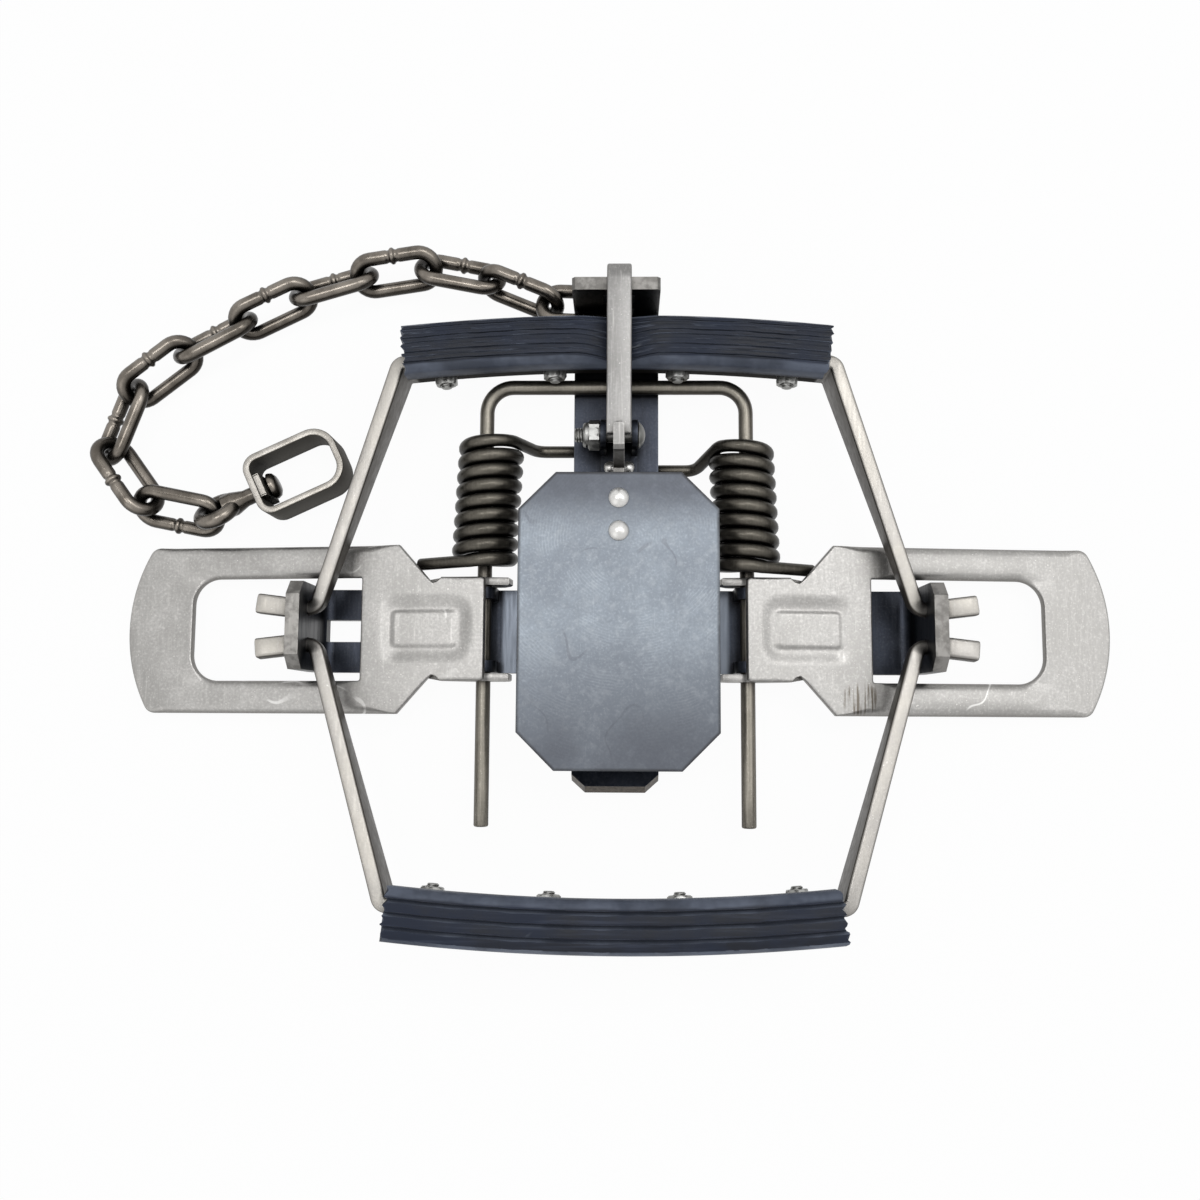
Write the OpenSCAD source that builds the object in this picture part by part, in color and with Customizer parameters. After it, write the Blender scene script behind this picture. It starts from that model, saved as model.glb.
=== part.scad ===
// Foothold trap with two coil springs and rubber padded jaws, drawn in the set position.
// Millimetres. The origin is under the middle of the base, X runs along the long base bar,
// Y runs to the dog post and Z is up.

/* [Base bar] */
// thickness of the long bar
bar_t = 3.4; // [2.5:0.1:4.5]
// width of the long bar
bar_w = 22; // [20:0.5:22]
// distance between the inner faces of the two ears
ear_span = 155.2; // [150:0.2:160]
// height of the ear tops
ear_top = 27; // [25:0.5:30]
// inner radius of the bends
bend_r = 3; // [2:0.5:4]
// size of the cut corners on ears and front end
corner = 3.5; // [2:0.5:5]
// length of the slot in the left end
slot_len = 16; // [10:0.5:20]
// width of the slot in the left end
slot_w = 5.8; // [4:0.2:8]
// thickness of the lugs that hold the pivot rod
lug_t = 3; // [2:0.2:3.4]

/* [Cross bar] */
// thickness of the cross bar
cross_t = 3.3; // [2.5:0.1:4.5]
// width of the cross bar
cross_w = 22.4; // [20:0.2:24]
// clearance between the far pad and the dog post
post_gap = 6; // [5.4:0.1:8]
// height of the post top
post_top = 27; // [26:0.5:30]
// size of the cut corners on the post
post_cut = 0.8; // [0.4:0.1:3]
// height of the bar that the dog curls around
post_bar = 4; // [3:0.5:5]
// front edge where the bar turns up
front_y = 35.5; // [32:0.5:40]
// angle of the turned up front end
front_turn = 32; // [10:1:45]
// length of the turned up front end
front_len = 6; // [4:0.5:8]
// sideways place of the chain hole
hole_x = 1.5; // [0:0.5:2]
// height of the chain hole
hole_z = 11.5; // [10.5:0.5:12]
// radius of the chain hole
hole_r = 3.6; // [3:0.2:4]

/* [Jaws] */
// height of the jaw pivots
jaw_z = 18; // [17:0.5:19]
// distance of each jaw pivot from the middle
jaw_y = 4.63; // [4.4:0.1:5]
// radius of the jaw pins
pin_r = 1.85; // [1.5:0.05:2]
// length of jaw pin outside the ear
pin_out = 9.5; // [6:0.5:12]
// thickness of the jaw strip
jaw_t = 3.6; // [3:0.1:4]
// top edge of the strip above the pivot
jaw_top = 2.6; // [2:0.1:3]
// lower edge of the arm below the pivot at the ear
arm_low = 2; // [1.5:0.1:2.5]
// lower edge of the strip below the pivot at the pad
strip_low = 10.8; // [9:0.2:11]
// reach of the strip corner from the pivot
jaw_reach = 63.2; // [62.6:0.2:64]
// half width of the jaw at its corners
corner_x = 56; // [55:0.5:58]
// outward bow of the middle strip
bow = 3; // [2:0.2:3.4]
// bend radius of the strip corners
jaw_bend = 3; // [2.5:0.5:6]
// rise of the near jaw in the set position
near_rise = 6; // [4:0.5:10]

/* [Pads] */
// half length of each rubber pad
pad_half = 53.3; // [50:0.5:54]
// reach of the rubber to the outside of the strip
pad_out = 7.8; // [6:0.1:8]
// reach of the rubber to the inside of the strip
pad_in = 5.9; // [5:0.1:6.2]
// lower edge of the outer rubber wall below the pivot
pad_low = 8.6; // [8:0.2:9.5]
// depth of the grooves
rib_d = 0.8; // [0.4:0.1:1.2]
// width of the grooves
rib_w = 0.7; // [0.4:0.1:1]
// place of the outer pad bolts
bolt_x2 = 44.8; // [42:0.5:46]
// place of the inner pad bolts
bolt_x1 = 16.1; // [14:0.5:20]
// height of the pad bolts below the pivot
bolt_drop = 4; // [3:0.2:4.4]
// radius of the pad bolts
bolt_r = 1.6; // [1.2:0.1:1.8]
// thickness of the pad nuts
nut_t = 2.4; // [2:0.1:2.6]

/* [Levers] */
// thickness of the lever plate
lever_t = 2; // [1.5:0.1:2.4]
// distance from pivot to the outer end
lever_len = 95; // [92:0.5:98]
// half width of the lever
lever_w = 21.9; // [21:0.1:23]
// half width of the window
window_w = 13.4; // [13:0.1:14]
// inner end of the window from the pivot
window_a = 30.2; // [29:0.2:32]
// outer end of the window from the pivot
window_b = 77.3; // [74:0.2:80]
// radius of the rolled rail edges
roll_r = 1.9; // [1.5:0.1:2]
// downward slope of the set lever
lever_slope = 6; // [5:0.25:6.25]
// height of the raised panel
panel_h = 0.5; // [0.2:0.1:1]

/* [Rod and springs] */
// distance of the pivot rod legs from the middle
rod_x = 34.2; // [33.5:0.1:35]
// radius of the pivot rod
rod_r = 1.9; // [1.6:0.05:2]
// near ends of the rod
rod_near = 50.4; // [45:0.5:55]
// clearance between the far run of the rod and the far jaw strip
rod_gap = 4.4; // [4:0.1:6]
// bend radius of the rod
rod_bend = 7; // [5:0.5:9]
// radius of the spring wire
wire_r = 1.6; // [1.3:0.05:1.65]
// mean radius of the coils
coil_r = 6.8; // [6:0.1:6.9]
// rise of the coil in each turn
pitch = 3.8; // [3.7:0.02:3.84]
// number of whole turns
turns = 8; // [6:1:8]

/* [Pan and latch] */
// sideways place of the pan, latch and dog
latch_x = 0.8; // [0:0.1:1]
// width of the pan
pan_w = 50; // [44:0.5:50]
// near edge of the pan
pan_near = 35.5; // [30:0.5:36]
// far edge of the pan
pan_far = 38.4; // [37:0.2:39]
// cut corners of the pan
pan_cut = 9.3; // [5:0.1:12]
// thickness of the pan
pan_t = 1.8; // [1.4:0.1:2.2]
// height of the pan underside
pan_z = 23; // [22.5:0.25:23.5]
// place of the pan bolt
pan_bolt_y = 50.3; // [49.6:0.1:51]
// height of the pan bolt
pan_bolt_z = 14.6; // [14:0.1:15]
// radius of the pan bolt
pan_bolt_r = 1.95; // [1.6:0.05:2]
// thickness of the shank plate
shank_t = 3; // [2.4:0.1:3.2]
// thickness of the bracket sheet
bracket_t = 1.5; // [1.2:0.1:1.8]
// gap between the bracket ears
bracket_gap = 6.6; // [6:0.1:7]
// width of the dog
dog_w = 6.2; // [5:0.1:6.4]
// thickness of the dog
dog_t = 2.6; // [2:0.1:2.8]
// place of the dog tip
dog_tip_y = 46.9; // [46.5:0.1:47.5]
// cover of the latch over the dog tip
latch_lap = 2.5; // [1.5:0.1:2.8]

/* [Chain] */
// radius of the chain wire
link_r = 1.8; // [1.6:0.05:1.9]
// inner width of a link
link_w = 5.4; // [5.2:0.1:5.8]
// link to link spacing
link_pitch = 17.5; // [17:0.1:18]
// slack between touching links
link_slack = 0.6; // [0.4:0.1:0.8]
// wall of the swivel box
box_t = 1.8; // [1.4:0.1:2.2]
// length of the swivel box
box_l = 24.5; // [22:0.5:26]
// width of the swivel box
box_w = 15; // [14:0.5:16]
// depth of the swivel box
box_d = 10; // [9:0.25:10.5]

/* [Hidden] */
$fn = 32;
fit = 0.1;
gap = 0.3;
snug = 0.02;
ear_x = ear_span / 2;
rod_z = bar_t + cross_t + rod_r + 0.4;
lug_r = rod_r + 1.35;
floor_top = bar_t + cross_t;
dog_z = post_top - post_bar / 2;
curl_room = 1.4;
side_room = 0.9;
curl_in = sqrt(pow(cross_t / 2, 2) + pow(post_bar / 2, 2)) + gap;
dog_under = dog_z + curl_in;
pad_top = dog_under - gap - jaw_z;
plate_low = lug_r + 0.5;
plate_top = plate_low + lever_t;
flange_in = bar_w / 2 + 0.4;
flange_out = flange_in + lever_t;
arm_x = ear_x - 2.2;
arm_turn = atan2(jaw_reach, corner_x - arm_x);
bow_r = (pow(corner_x, 2) + pow(bow, 2)) / (2 * bow);
strip_y = jaw_reach + bow;
bow_y = strip_y - bow_r;
post_y = jaw_y + strip_y + pad_out + post_gap;
post_mid = post_y + cross_t / 2;
rod_far = jaw_y + strip_y - jaw_t / 2 - rod_gap;

// corner bend of the jaw strip, tangent to the straight arm and to the bowed strip
arm_way = [cos(arm_turn), sin(arm_turn)];
bend_side = [arm_x - jaw_bend * sin(arm_turn), jaw_bend * cos(arm_turn) - bow_y];
bend_back = bend_side * arm_way;
arm_len = sqrt(pow(bend_back, 2) - bend_side * bend_side + pow(bow_r - jaw_bend, 2)) - bend_back;
bend_mid = [bend_side[0], bend_side[1] + bow_y] + arm_way * arm_len;
bow_half = atan2(bend_mid[0], bend_mid[1] - bow_y);
bend_steps = 8;
bow_steps = 16;

coil_y = flange_out + 0.9 + wire_r;
hook_y = dog_tip_y - 0.5;
hook_low = dog_under + dog_t + 0.4;
foot_t = 2.2;
foot_len = 19;
foot_w = 9;
pan_rivet_far = 6.5;
pan_rivet_near = 14.8;
pan_rivet_r = 1.5;
pan_rivet_foot = 2.2;
pan_rivet_head = 2.5;
plate_start = 4;
knuckle_r = 3.9;
latch_h = 2.4;
frame_rivet_y = 6;
frame_rivet_r = 2.5;
frame_rivet_h = 1.6;
tie_y = 43.2;
tie_x = 2.3;
tie_r = 0.9;
bracket_y = 41;
bracket_l = 13.3;
bracket_r = 4;
bolt_tail = 6.8;
bolt_dome = 3.7;
lock_r = 4.05;
lock_t = 3.2;
collar_t = 1.5;
pad_head_r = 3;
pad_head_t = 1.8;
pad_seat = 2.4;
pad_nut_r = 3.1;
pad_tip = 1.8;
link_arc = link_w / 2 + link_r;
link_long = link_pitch + 4 * link_r + link_slack;
shank_r = 2.2;
eye_arc = 4.8;
eye_r = 2;
eye_long = 2 * eye_arc + 6.6;

// heading, dip and roll of each chain link as it lies on the floor
link_turns = [
    [175, 7.5, 14], [157, 1.5, -68], [169, 0, 37], [188, 2, -43], [196, 1, 50], [206, 0.5, -53],
    [208, 1, 52], [218, 1, -48], [250, 1, 38], [306, 1.5, -50], [349, 1.5, 36], [25, 0, -50]
];

dark_steel = "#2b3138";
bare_steel = "#b9b4aa";
oiled_steel = "#57514a";
zinc = "#d3d3cf";
rubber = "#23252e";

// direction of a link along its length
function along(i) =
    let (h = link_turns[i][0], d = link_turns[i][1])
    [cos(h) * cos(d), sin(h) * cos(d), -sin(d)];

// direction of a link across its width
function across(i) =
    let (h = link_turns[i][0], d = link_turns[i][1], r = link_turns[i][2])
    let (x = sin(r) * sin(d), y = cos(r), z = sin(r) * cos(d))
    [x * cos(h) - y * sin(h), x * sin(h) + y * cos(h), z];

// step from the end wire of one link to the start wire of the next
function step(i) =
    let (m = cross(across(i - 1), across(i)))
    let (way = m * (along(i - 1) + along(i)) < 0 ? -1 : 1)
    m * (way / norm(m)) * -(wire_pair(i) + link_slack);

function wire_pair(i) = i == 11 ? link_r + eye_r : 2 * link_r;

chain_start = [hole_x, post_mid - 0.6, hole_z];

// centre of the wire at the start of a link
function link_start(i) = i == 0 ? chain_start : link_end(i - 1) + step(i);
function link_end(i) = link_start(i) + along(i) * (link_long - 2 * link_r);

eye_start = link_start(11);
eye_axis = along(11);
box_start = eye_start + eye_axis * eye_long;

// quarter bend of a strip, from level to upright
module quarter_bend(thick, wide) {
    translate([0, 0, bend_r + thick])
        rotate([90, 0, 0])
            rotate_extrude(angle = -90)
                translate([bend_r, -wide / 2])
                    square([thick, wide]);
}

// upright end of a strip with cut corners, standing on the bend
module upright(thick, wide, top, cut) {
    low = bend_r + thick;
    translate([bend_r, 0, 0])
        rotate([90, 0, 90])
            linear_extrude(thick)
                polygon([
                    [-wide / 2, low], [wide / 2, low], [wide / 2, top - cut],
                    [wide / 2 - cut, top], [cut - wide / 2, top], [-wide / 2, top - cut]
                ]);
}

// lug that rises from the bar edge to hold the pivot rod
module rod_lug(side_y) {
    wide = 2 * lug_r;
    out = bar_w / 2;
    low = side_y > 0 ? out - lug_t : -out;
    translate([rod_x - lug_r, low, bar_t / 2])
        cube([wide, lug_t, rod_z - bar_t / 2]);
    translate([rod_x, low, rod_z])
        rotate([-90, 0, 0])
            cylinder(r = lug_r, h = lug_t);
}

module base_bar() {
    flat = ear_x - bend_r;
    color(dark_steel)
        difference() {
            union() {
                translate([-flat, -bar_w / 2, 0])
                    cube([2 * flat, bar_w, bar_t]);
                for (side = [0, 1])
                    mirror([side, 0, 0]) {
                        translate([flat, 0, 0]) {
                            quarter_bend(bar_t, bar_w);
                            upright(bar_t, bar_w, ear_top, corner);
                        }
                        rod_lug(1);
                        rod_lug(-1);
                    }
            }
            for (side = [-1, 1])
                translate([-ear_x - bar_t - 1, side * jaw_y, jaw_z])
                    rotate([0, 90, 0])
                        cylinder(r = pin_r + fit, h = 2 * (ear_x + bar_t + 1));
            for (side = [-1, 1])
                translate([side * rod_x, -bar_w / 2 - 1, rod_z])
                    rotate([-90, 0, 0])
                        cylinder(r = rod_r + snug, h = bar_w + 2);
            translate([-ear_x + 1, -slot_w / 2, -1])
                cube([slot_len, slot_w, bar_t + 2.6]);
            frame_rivet_holes();
        }
}

module frame_rivet_holes() {
    for (side = [-1, 1])
        translate([0, side * frame_rivet_y, -1])
            cylinder(r = frame_rivet_r + snug, h = floor_top + 2);
}

module cross_bar() {
    start = -front_y;
    flat = post_y - bend_r - start;
    color(dark_steel)
        difference() {
            translate([0, 0, bar_t]) {
                translate([-cross_w / 2, start, 0])
                    cube([cross_w, flat, cross_t]);
                translate([0, post_y - bend_r, 0])
                    rotate([0, 0, 90]) {
                        quarter_bend(cross_t, cross_w);
                        upright(cross_t, cross_w, post_top - bar_t, post_cut);
                    }
                front_end();
            }
            frame_rivet_holes();
            // window under the top bar, where the dog curls through
            translate([latch_x - dog_w / 2 - side_room, post_y - 1, dog_z - curl_in - dog_t - curl_room])
                cube([dog_w + 2 * side_room, cross_t + 2, curl_in + dog_t + curl_room - post_bar / 2]);
            translate([hole_x, post_y - 1, hole_z])
                rotate([-90, 0, 0])
                    cylinder(r = hole_r, h = cross_t + 2);
            for (side = [-1, 1])
                translate([latch_x + side * tie_x, tie_y, bar_t - 1])
                    cylinder(r = tie_r + snug, h = cross_t + 2);
        }
}

// front end of the cross bar, turned up
module front_end() {
    turn_r = 3;
    translate([0, -front_y, cross_t + turn_r])
        rotate([-front_turn, 0, 0])
            translate([0, 0, -cross_t - turn_r])
                linear_extrude(cross_t)
                    polygon([
                        [-cross_w / 2, 0], [cross_w / 2, 0], [cross_w / 2, corner - front_len],
                        [cross_w / 2 - corner, -front_len], [corner - cross_w / 2, -front_len],
                        [-cross_w / 2, corner - front_len]
                    ]);
    translate([0, -front_y, cross_t + turn_r])
        rotate([0, 90, 0])
            rotate_extrude(angle = -front_turn)
                translate([turn_r, -cross_w / 2])
                    square([cross_t, cross_w]);
}

module frame_rivets() {
    color(dark_steel)
        for (side = [-1, 1])
            translate([0, side * frame_rivet_y, 0]) {
                cylinder(r = frame_rivet_r, h = floor_top + 0.1);
                translate([0, 0, floor_top])
                    cylinder(r1 = 1.6 * frame_rivet_r, r2 = 1.2 * frame_rivet_r, h = frame_rivet_h);
            }
}

// shape of a bracket ear seen from the side
module ear_shape() {
    translate([pan_bolt_y, pan_bolt_z])
        circle(r = bracket_r);
    translate([pan_bolt_y - bracket_r, floor_top])
        square([2 * bracket_r, pan_bolt_z - floor_top]);
}

module pan_bracket() {
    wide = bracket_gap + 2 * bracket_t;
    color(dark_steel)
        translate([latch_x, 0, 0])
            difference() {
                union() {
                    translate([-wide / 2, bracket_y, floor_top])
                        cube([wide, bracket_l, bracket_t]);
                    for (x = [-wide / 2, bracket_gap / 2])
                        translate([x, 0, 0])
                            rotate([90, 0, 90])
                                linear_extrude(bracket_t)
                                    ear_shape();
                }
                translate([-wide, pan_bolt_y, pan_bolt_z])
                    rotate([0, 90, 0])
                        cylinder(r = pan_bolt_r + snug, h = 2 * wide);
                for (side = [-1, 1])
                    translate([side * tie_x, tie_y, floor_top - 1])
                        cylinder(r = tie_r + snug, h = bracket_t + 2);
            }
}

module bracket_rivets() {
    top = floor_top + bracket_t;
    color(zinc)
        for (side = [-1, 1])
            translate([latch_x + side * tie_x, tie_y, 0]) {
                translate([0, 0, bar_t])
                    cylinder(r = tie_r, h = cross_t + bracket_t + 0.1);
                translate([0, 0, top])
                    cylinder(r1 = 1.9 * tie_r, r2 = 1.35 * tie_r, h = tie_r);
            }
}

module pan_bolt() {
    half = bracket_gap / 2 + bracket_t;
    color(zinc)
        translate([latch_x, pan_bolt_y, pan_bolt_z])
            rotate([0, 90, 0]) {
                translate([0, 0, -half - bolt_tail])
                    cylinder(r = pan_bolt_r, h = 2 * half + bolt_tail + 0.1);
                translate([0, 0, half])
                    intersection() {
                        cylinder(r = bolt_dome, h = 0.65 * bolt_dome);
                        translate([0, 0, -0.57 * bolt_dome])
                            sphere(r = 1.19 * bolt_dome);
                    }
            }
}

module pan_nut() {
    half = bracket_gap / 2 + bracket_t;
    color(zinc)
        translate([latch_x - half, pan_bolt_y, pan_bolt_z])
            rotate([0, -90, 0])
                difference() {
                    union() {
                        cylinder(r = lock_r, h = lock_t, $fn = 6);
                        translate([0, 0, lock_t - 0.1])
                            cylinder(r1 = 0.84 * lock_r, r2 = 0.72 * lock_r, h = collar_t);
                    }
                    translate([0, 0, -1])
                        cylinder(r = pan_bolt_r + snug, h = lock_t + collar_t + 2);
                }
}

module pan() {
    half = pan_w / 2;
    near = -pan_near;
    color(dark_steel)
        translate([latch_x, 0, pan_z])
            difference() {
                linear_extrude(pan_t)
                    polygon([
                        [-half + pan_cut, near], [half - pan_cut, near], [half, near + pan_cut],
                        [half, pan_far - pan_cut], [half - pan_cut, pan_far],
                        [-half + pan_cut, pan_far], [-half, pan_far - pan_cut], [-half, near + pan_cut]
                    ]);
                pan_rivet_places()
                    translate([0, 0, -1])
                        cylinder(r = pan_rivet_r + snug, h = pan_t + 2);
            }
}

module pan_rivet_places() {
    for (y = [pan_far - pan_rivet_far, pan_far - pan_rivet_near])
        translate([0, y, 0])
            children();
}

module pan_shank() {
    color(dark_steel)
        translate([latch_x, 0, 0])
            difference() {
                union() {
                    translate([-foot_w / 2, pan_far - foot_len, pan_z - foot_t])
                        cube([foot_w, foot_len, foot_t]);
                    rotate([90, 0, 90])
                        translate([0, 0, -shank_t / 2])
                            linear_extrude(shank_t)
                                shank_shape();
                }
                translate([-shank_t, pan_bolt_y, pan_bolt_z])
                    rotate([0, 90, 0])
                        cylinder(r = pan_bolt_r + fit, h = 2 * shank_t);
                translate([0, 0, pan_z - foot_t])
                    pan_rivet_places()
                        translate([0, 0, -1])
                            cylinder(r = pan_rivet_r + snug, h = foot_t + 2);
            }
}

// side view of the shank with the latch that covers the dog tip
module shank_shape() {
    top = hook_low + latch_h;
    translate([pan_bolt_y, pan_bolt_z])
        circle(r = knuckle_r);
    polygon([
        [pan_far - plate_start, pan_z - foot_t], [pan_far - plate_start, pan_z], [pan_far, pan_z],
        [pan_far + 1.4, pan_z], [hook_y - 4, hook_low - 1], [hook_y - 4, top - 1],
        [hook_y - 3, top], [hook_y + latch_lap, top], [dog_tip_y + latch_lap, top - 1],
        [dog_tip_y + latch_lap, hook_low], [hook_y, hook_low], [hook_y, dog_under - 3.4],
        [pan_bolt_y + 2, pan_bolt_z + 3.3], [pan_bolt_y - 2, pan_bolt_z - 3.3],
        [pan_far + 3, pan_bolt_z + 0.6]
    ]);
}

module pan_rivets() {
    low = pan_z - foot_t;
    color(zinc)
        translate([latch_x, 0, 0])
            pan_rivet_places() {
                translate([0, 0, low - 0.6])
                    cylinder(r = pan_rivet_foot, h = 0.6);
                translate([0, 0, low - 0.1])
                    cylinder(r = pan_rivet_r, h = foot_t + pan_t + 0.2);
                translate([0, 0, pan_z + pan_t])
                    intersection() {
                        cylinder(r = pan_rivet_head, h = 0.64 * pan_rivet_head);
                        translate([0, 0, -0.68 * pan_rivet_head])
                            sphere(r = 1.24 * pan_rivet_head);
                    }
            }
}

module dog() {
    color(bare_steel)
        translate([latch_x, post_mid, dog_z])
            rotate([90, 0, 90])
                translate([0, 0, -dog_w / 2]) {
                    // curl around the top bar of the post
                    rotate([0, 0, 90])
                        rotate_extrude(angle = -245)
                            translate([curl_in, 0])
                                square([dog_t, dog_w]);
                    translate([dog_tip_y - post_mid, curl_in, 0])
                        cube([post_mid - dog_tip_y, dog_t, dog_w]);
                }
}

// plan outline of the jaw strip, moved sideways from its middle line, from right arm to left arm
function flip(p) = [-p[0], p[1]];
function turned(a) = [cos(a), sin(a)];
function bend_edge(off) =
    let (turn = 180 - bow_half - arm_turn)
    [for (k = [0:bend_steps])
        bend_mid + (jaw_bend + off) * turned(arm_turn - 90 + turn * k / bend_steps)];
function bow_edge(off) =
    [for (k = [1:bow_steps - 1])
        [0, bow_y] + (bow_r + off) * turned(90 - bow_half + 2 * bow_half * k / bow_steps)];
function strip_edge(off) =
    concat(bend_edge(off), bow_edge(off), back([for (p = bend_edge(off)) flip(p)]));
function back(list) = [for (k = [len(list) - 1:-1:0]) list[k]];
arm_cap = [for (a = [90:20:270]) [arm_x, 0] + jaw_t / 2 * turned(arm_turn + a)];

// one jaw in its own frame, pivot line on X, reaching toward +Y, level
module jaw_form() {
    difference() {
        union() {
            translate([0, 0, -strip_low])
                linear_extrude(strip_low + jaw_top)
                    polygon(concat(
                        strip_edge(jaw_t / 2), back([for (p = arm_cap) flip(p)]),
                        back(strip_edge(-jaw_t / 2)), arm_cap
                    ));
            for (side = [0, 1])
                mirror([side, 0, 0])
                    translate([arm_x, 0, 0])
                        rotate([0, 90, 0])
                            cylinder(r = pin_r, h = ear_x - arm_x + bar_t + pin_out);
        }
        for (side = [0, 1])
            mirror([side, 0, 0])
                arm_relief();
        pad_bolt_places()
            translate([0, 0, -4])
                cylinder(r = bolt_r + snug, h = 8);
    }
}

// cut under the arm, so that the strip tapers toward its pin
module arm_relief() {
    below = strip_low + 1;
    first = jaw_t / 2;
    last = arm_len - 1;
    translate([arm_x, 0, 0])
        rotate([0, 0, arm_turn])
            translate([0, jaw_t, 0])
                rotate([90, 0, 0])
                    linear_extrude(2 * jaw_t)
                        polygon([
                            [-jaw_t, -arm_low], [first, -arm_low], [last, -strip_low],
                            [last, -below], [-jaw_t, -below]
                        ]);
}

// four places along the strip, Z pointing out of the jaw
module pad_bolt_places() {
    for (x = [-bolt_x2, -bolt_x1, bolt_x1, bolt_x2])
        translate([0, bow_y, -bolt_drop])
            rotate([0, 0, -asin(x / bow_r)])
                translate([0, bow_r, 0])
                    rotate([-90, 0, 0])
                        children();
}

// one rubber pad in the jaw frame
module pad_form() {
    half = asin(pad_half / bow_r);
    groove_step = (pad_out + pad_in - 3.4) / 4;
    difference() {
        translate([0, bow_y, 0])
            rotate([0, 0, 90 - half])
                rotate_extrude(angle = 2 * half, $fn = 400)
                    translate([bow_r, 0])
                        difference() {
                            polygon([
                                [-pad_in, jaw_top + snug], [jaw_t / 2 + snug, jaw_top + snug],
                                [jaw_t / 2 + snug, -pad_low], [pad_out - 1, -pad_low],
                                [pad_out, 1 - pad_low], [pad_out, pad_top - 2.2],
                                [pad_out - 2.2, pad_top], [0.8 - pad_in, pad_top],
                                [-pad_in, pad_top - 0.8]
                            ]);
                            for (i = [0:3])
                                translate([2.6 - pad_in + i * groove_step, pad_top - rib_d])
                                    square([rib_w, rib_d + 1]);
                        }
        pad_bolt_places() {
            cylinder(r = bolt_r + snug, h = pad_out + 2);
            translate([0, 0, pad_out - pad_seat])
                cylinder(r = pad_head_r + gap, h = 2 * pad_seat);
        }
    }
}

module pad_bolt_form() {
    pad_bolt_places() {
        translate([0, 0, -jaw_t / 2 - nut_t - pad_tip])
            cylinder(r = bolt_r, h = pad_out - pad_seat + jaw_t / 2 + nut_t + pad_tip + 0.1);
        translate([0, 0, pad_out - pad_seat + snug])
            cylinder(r = pad_head_r, h = pad_head_t);
    }
}

module pad_nut_form() {
    pad_bolt_places()
        translate([0, 0, -jaw_t / 2 - nut_t - 0.1])
            difference() {
                cylinder(r = pad_nut_r, h = nut_t, $fn = 6);
                translate([0, 0, -1])
                    cylinder(r = bolt_r + snug, h = nut_t + 2);
            }
}

module far_place() {
    translate([0, jaw_y, jaw_z])
        children();
}

module near_place() {
    translate([0, -jaw_y, jaw_z])
        rotate([-near_rise, 0, 0])
            mirror([0, 1, 0])
                children();
}

module far_jaw() {
    color(bare_steel)
        far_place()
            jaw_form();
}

module near_jaw() {
    color(bare_steel)
        near_place()
            jaw_form();
}

module far_pad() {
    color(rubber)
        far_place()
            pad_form();
}

module near_pad() {
    color(rubber)
        near_place()
            pad_form();
}

module far_pad_bolts() {
    color(zinc)
        far_place()
            pad_bolt_form();
}

module near_pad_bolts() {
    color(zinc)
        near_place()
            pad_bolt_form();
}

module far_pad_nuts() {
    color(zinc)
        far_place()
            pad_nut_form();
}

module near_pad_nuts() {
    color(zinc)
        near_place()
            pad_nut_form();
}

// outline of the lever plate, pivot line at X zero
module lever_outline() {
    edge = lever_w - roll_r;
    difference() {
        intersection() {
            polygon([
                [-1.2, -flange_out], [10.6, -flange_out], [12.4, 1 - flange_out],
                [21.6, -edge], [lever_len, -edge], [lever_len, edge], [21.6, edge],
                [12.4, flange_out - 1], [10.6, flange_out], [-1.2, flange_out]
            ]);
            translate([lever_len - 62, 0])
                circle(r = 62, $fn = 180);
        }
        window_shape();
    }
}

module window_shape() {
    cut = 6;
    polygon([
        [window_a, -window_w], [window_b - cut, -window_w], [window_b - 1.4, 3.6 - window_w],
        [window_b, cut + 1 - window_w], [window_b, window_w - cut - 1],
        [window_b - 1.4, window_w - 3.6], [window_b - cut, window_w], [window_a, window_w]
    ]);
}

// side of the neck that is bent down and carries the pivot rod
module flange_shape() {
    polygon([
        [-7.2, -1.6], [-5, -4], [3.6, -4], [10.6, plate_low - 1.5], [10.6, plate_top],
        [-1.2, plate_top], [-2.2, plate_low], [-7.2, 2.6]
    ]);
}

module lever_form() {
    edge = lever_w - roll_r;
    difference() {
        union() {
            translate([0, 0, plate_low])
                linear_extrude(lever_t)
                    lever_outline();
            for (side = [-1, 1]) {
                translate([21.6, side * edge, plate_top - roll_r])
                    rotate([0, 90, 0])
                        cylinder(r = roll_r, h = lever_len - 27);
                translate([0, side > 0 ? flange_out : -flange_in, 0])
                    rotate([90, 0, 0])
                        linear_extrude(lever_t)
                            flange_shape();
            }
            translate([6.4, -4.5, plate_top - 0.1])
                cube([16.6, 9, panel_h + 0.1]);
        }
        translate([0, -flange_out - 1, 0])
            rotate([-90, 0, 0])
                cylinder(r = rod_r + fit, h = 2 * flange_out + 2);
    }
}

module lever_right() {
    color(bare_steel)
        translate([rod_x, 0, rod_z])
            rotate([0, lever_slope, 0])
                lever_form();
}

module lever_left() {
    color(bare_steel)
        mirror([1, 0, 0])
            translate([rod_x, 0, rod_z])
                rotate([0, lever_slope, 0])
                    lever_form();
}

module pivot_rod() {
    run = rod_far - rod_bend;
    color(oiled_steel)
        translate([0, 0, rod_z]) {
            for (side = [0, 1])
                mirror([side, 0, 0]) {
                    translate([rod_x, -rod_near, 0])
                        rotate([-90, 0, 0])
                            cylinder(r = rod_r, h = run + rod_near);
                    translate([rod_x - rod_bend, run, 0])
                        rotate_extrude(angle = 90, $fn = 48)
                            translate([rod_bend, 0])
                                circle(r = rod_r);
                }
            translate([rod_bend - rod_x, rod_far, 0])
                rotate([0, 90, 0])
                    cylinder(r = rod_r, h = 2 * (rod_x - rod_bend));
        }
}

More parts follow.
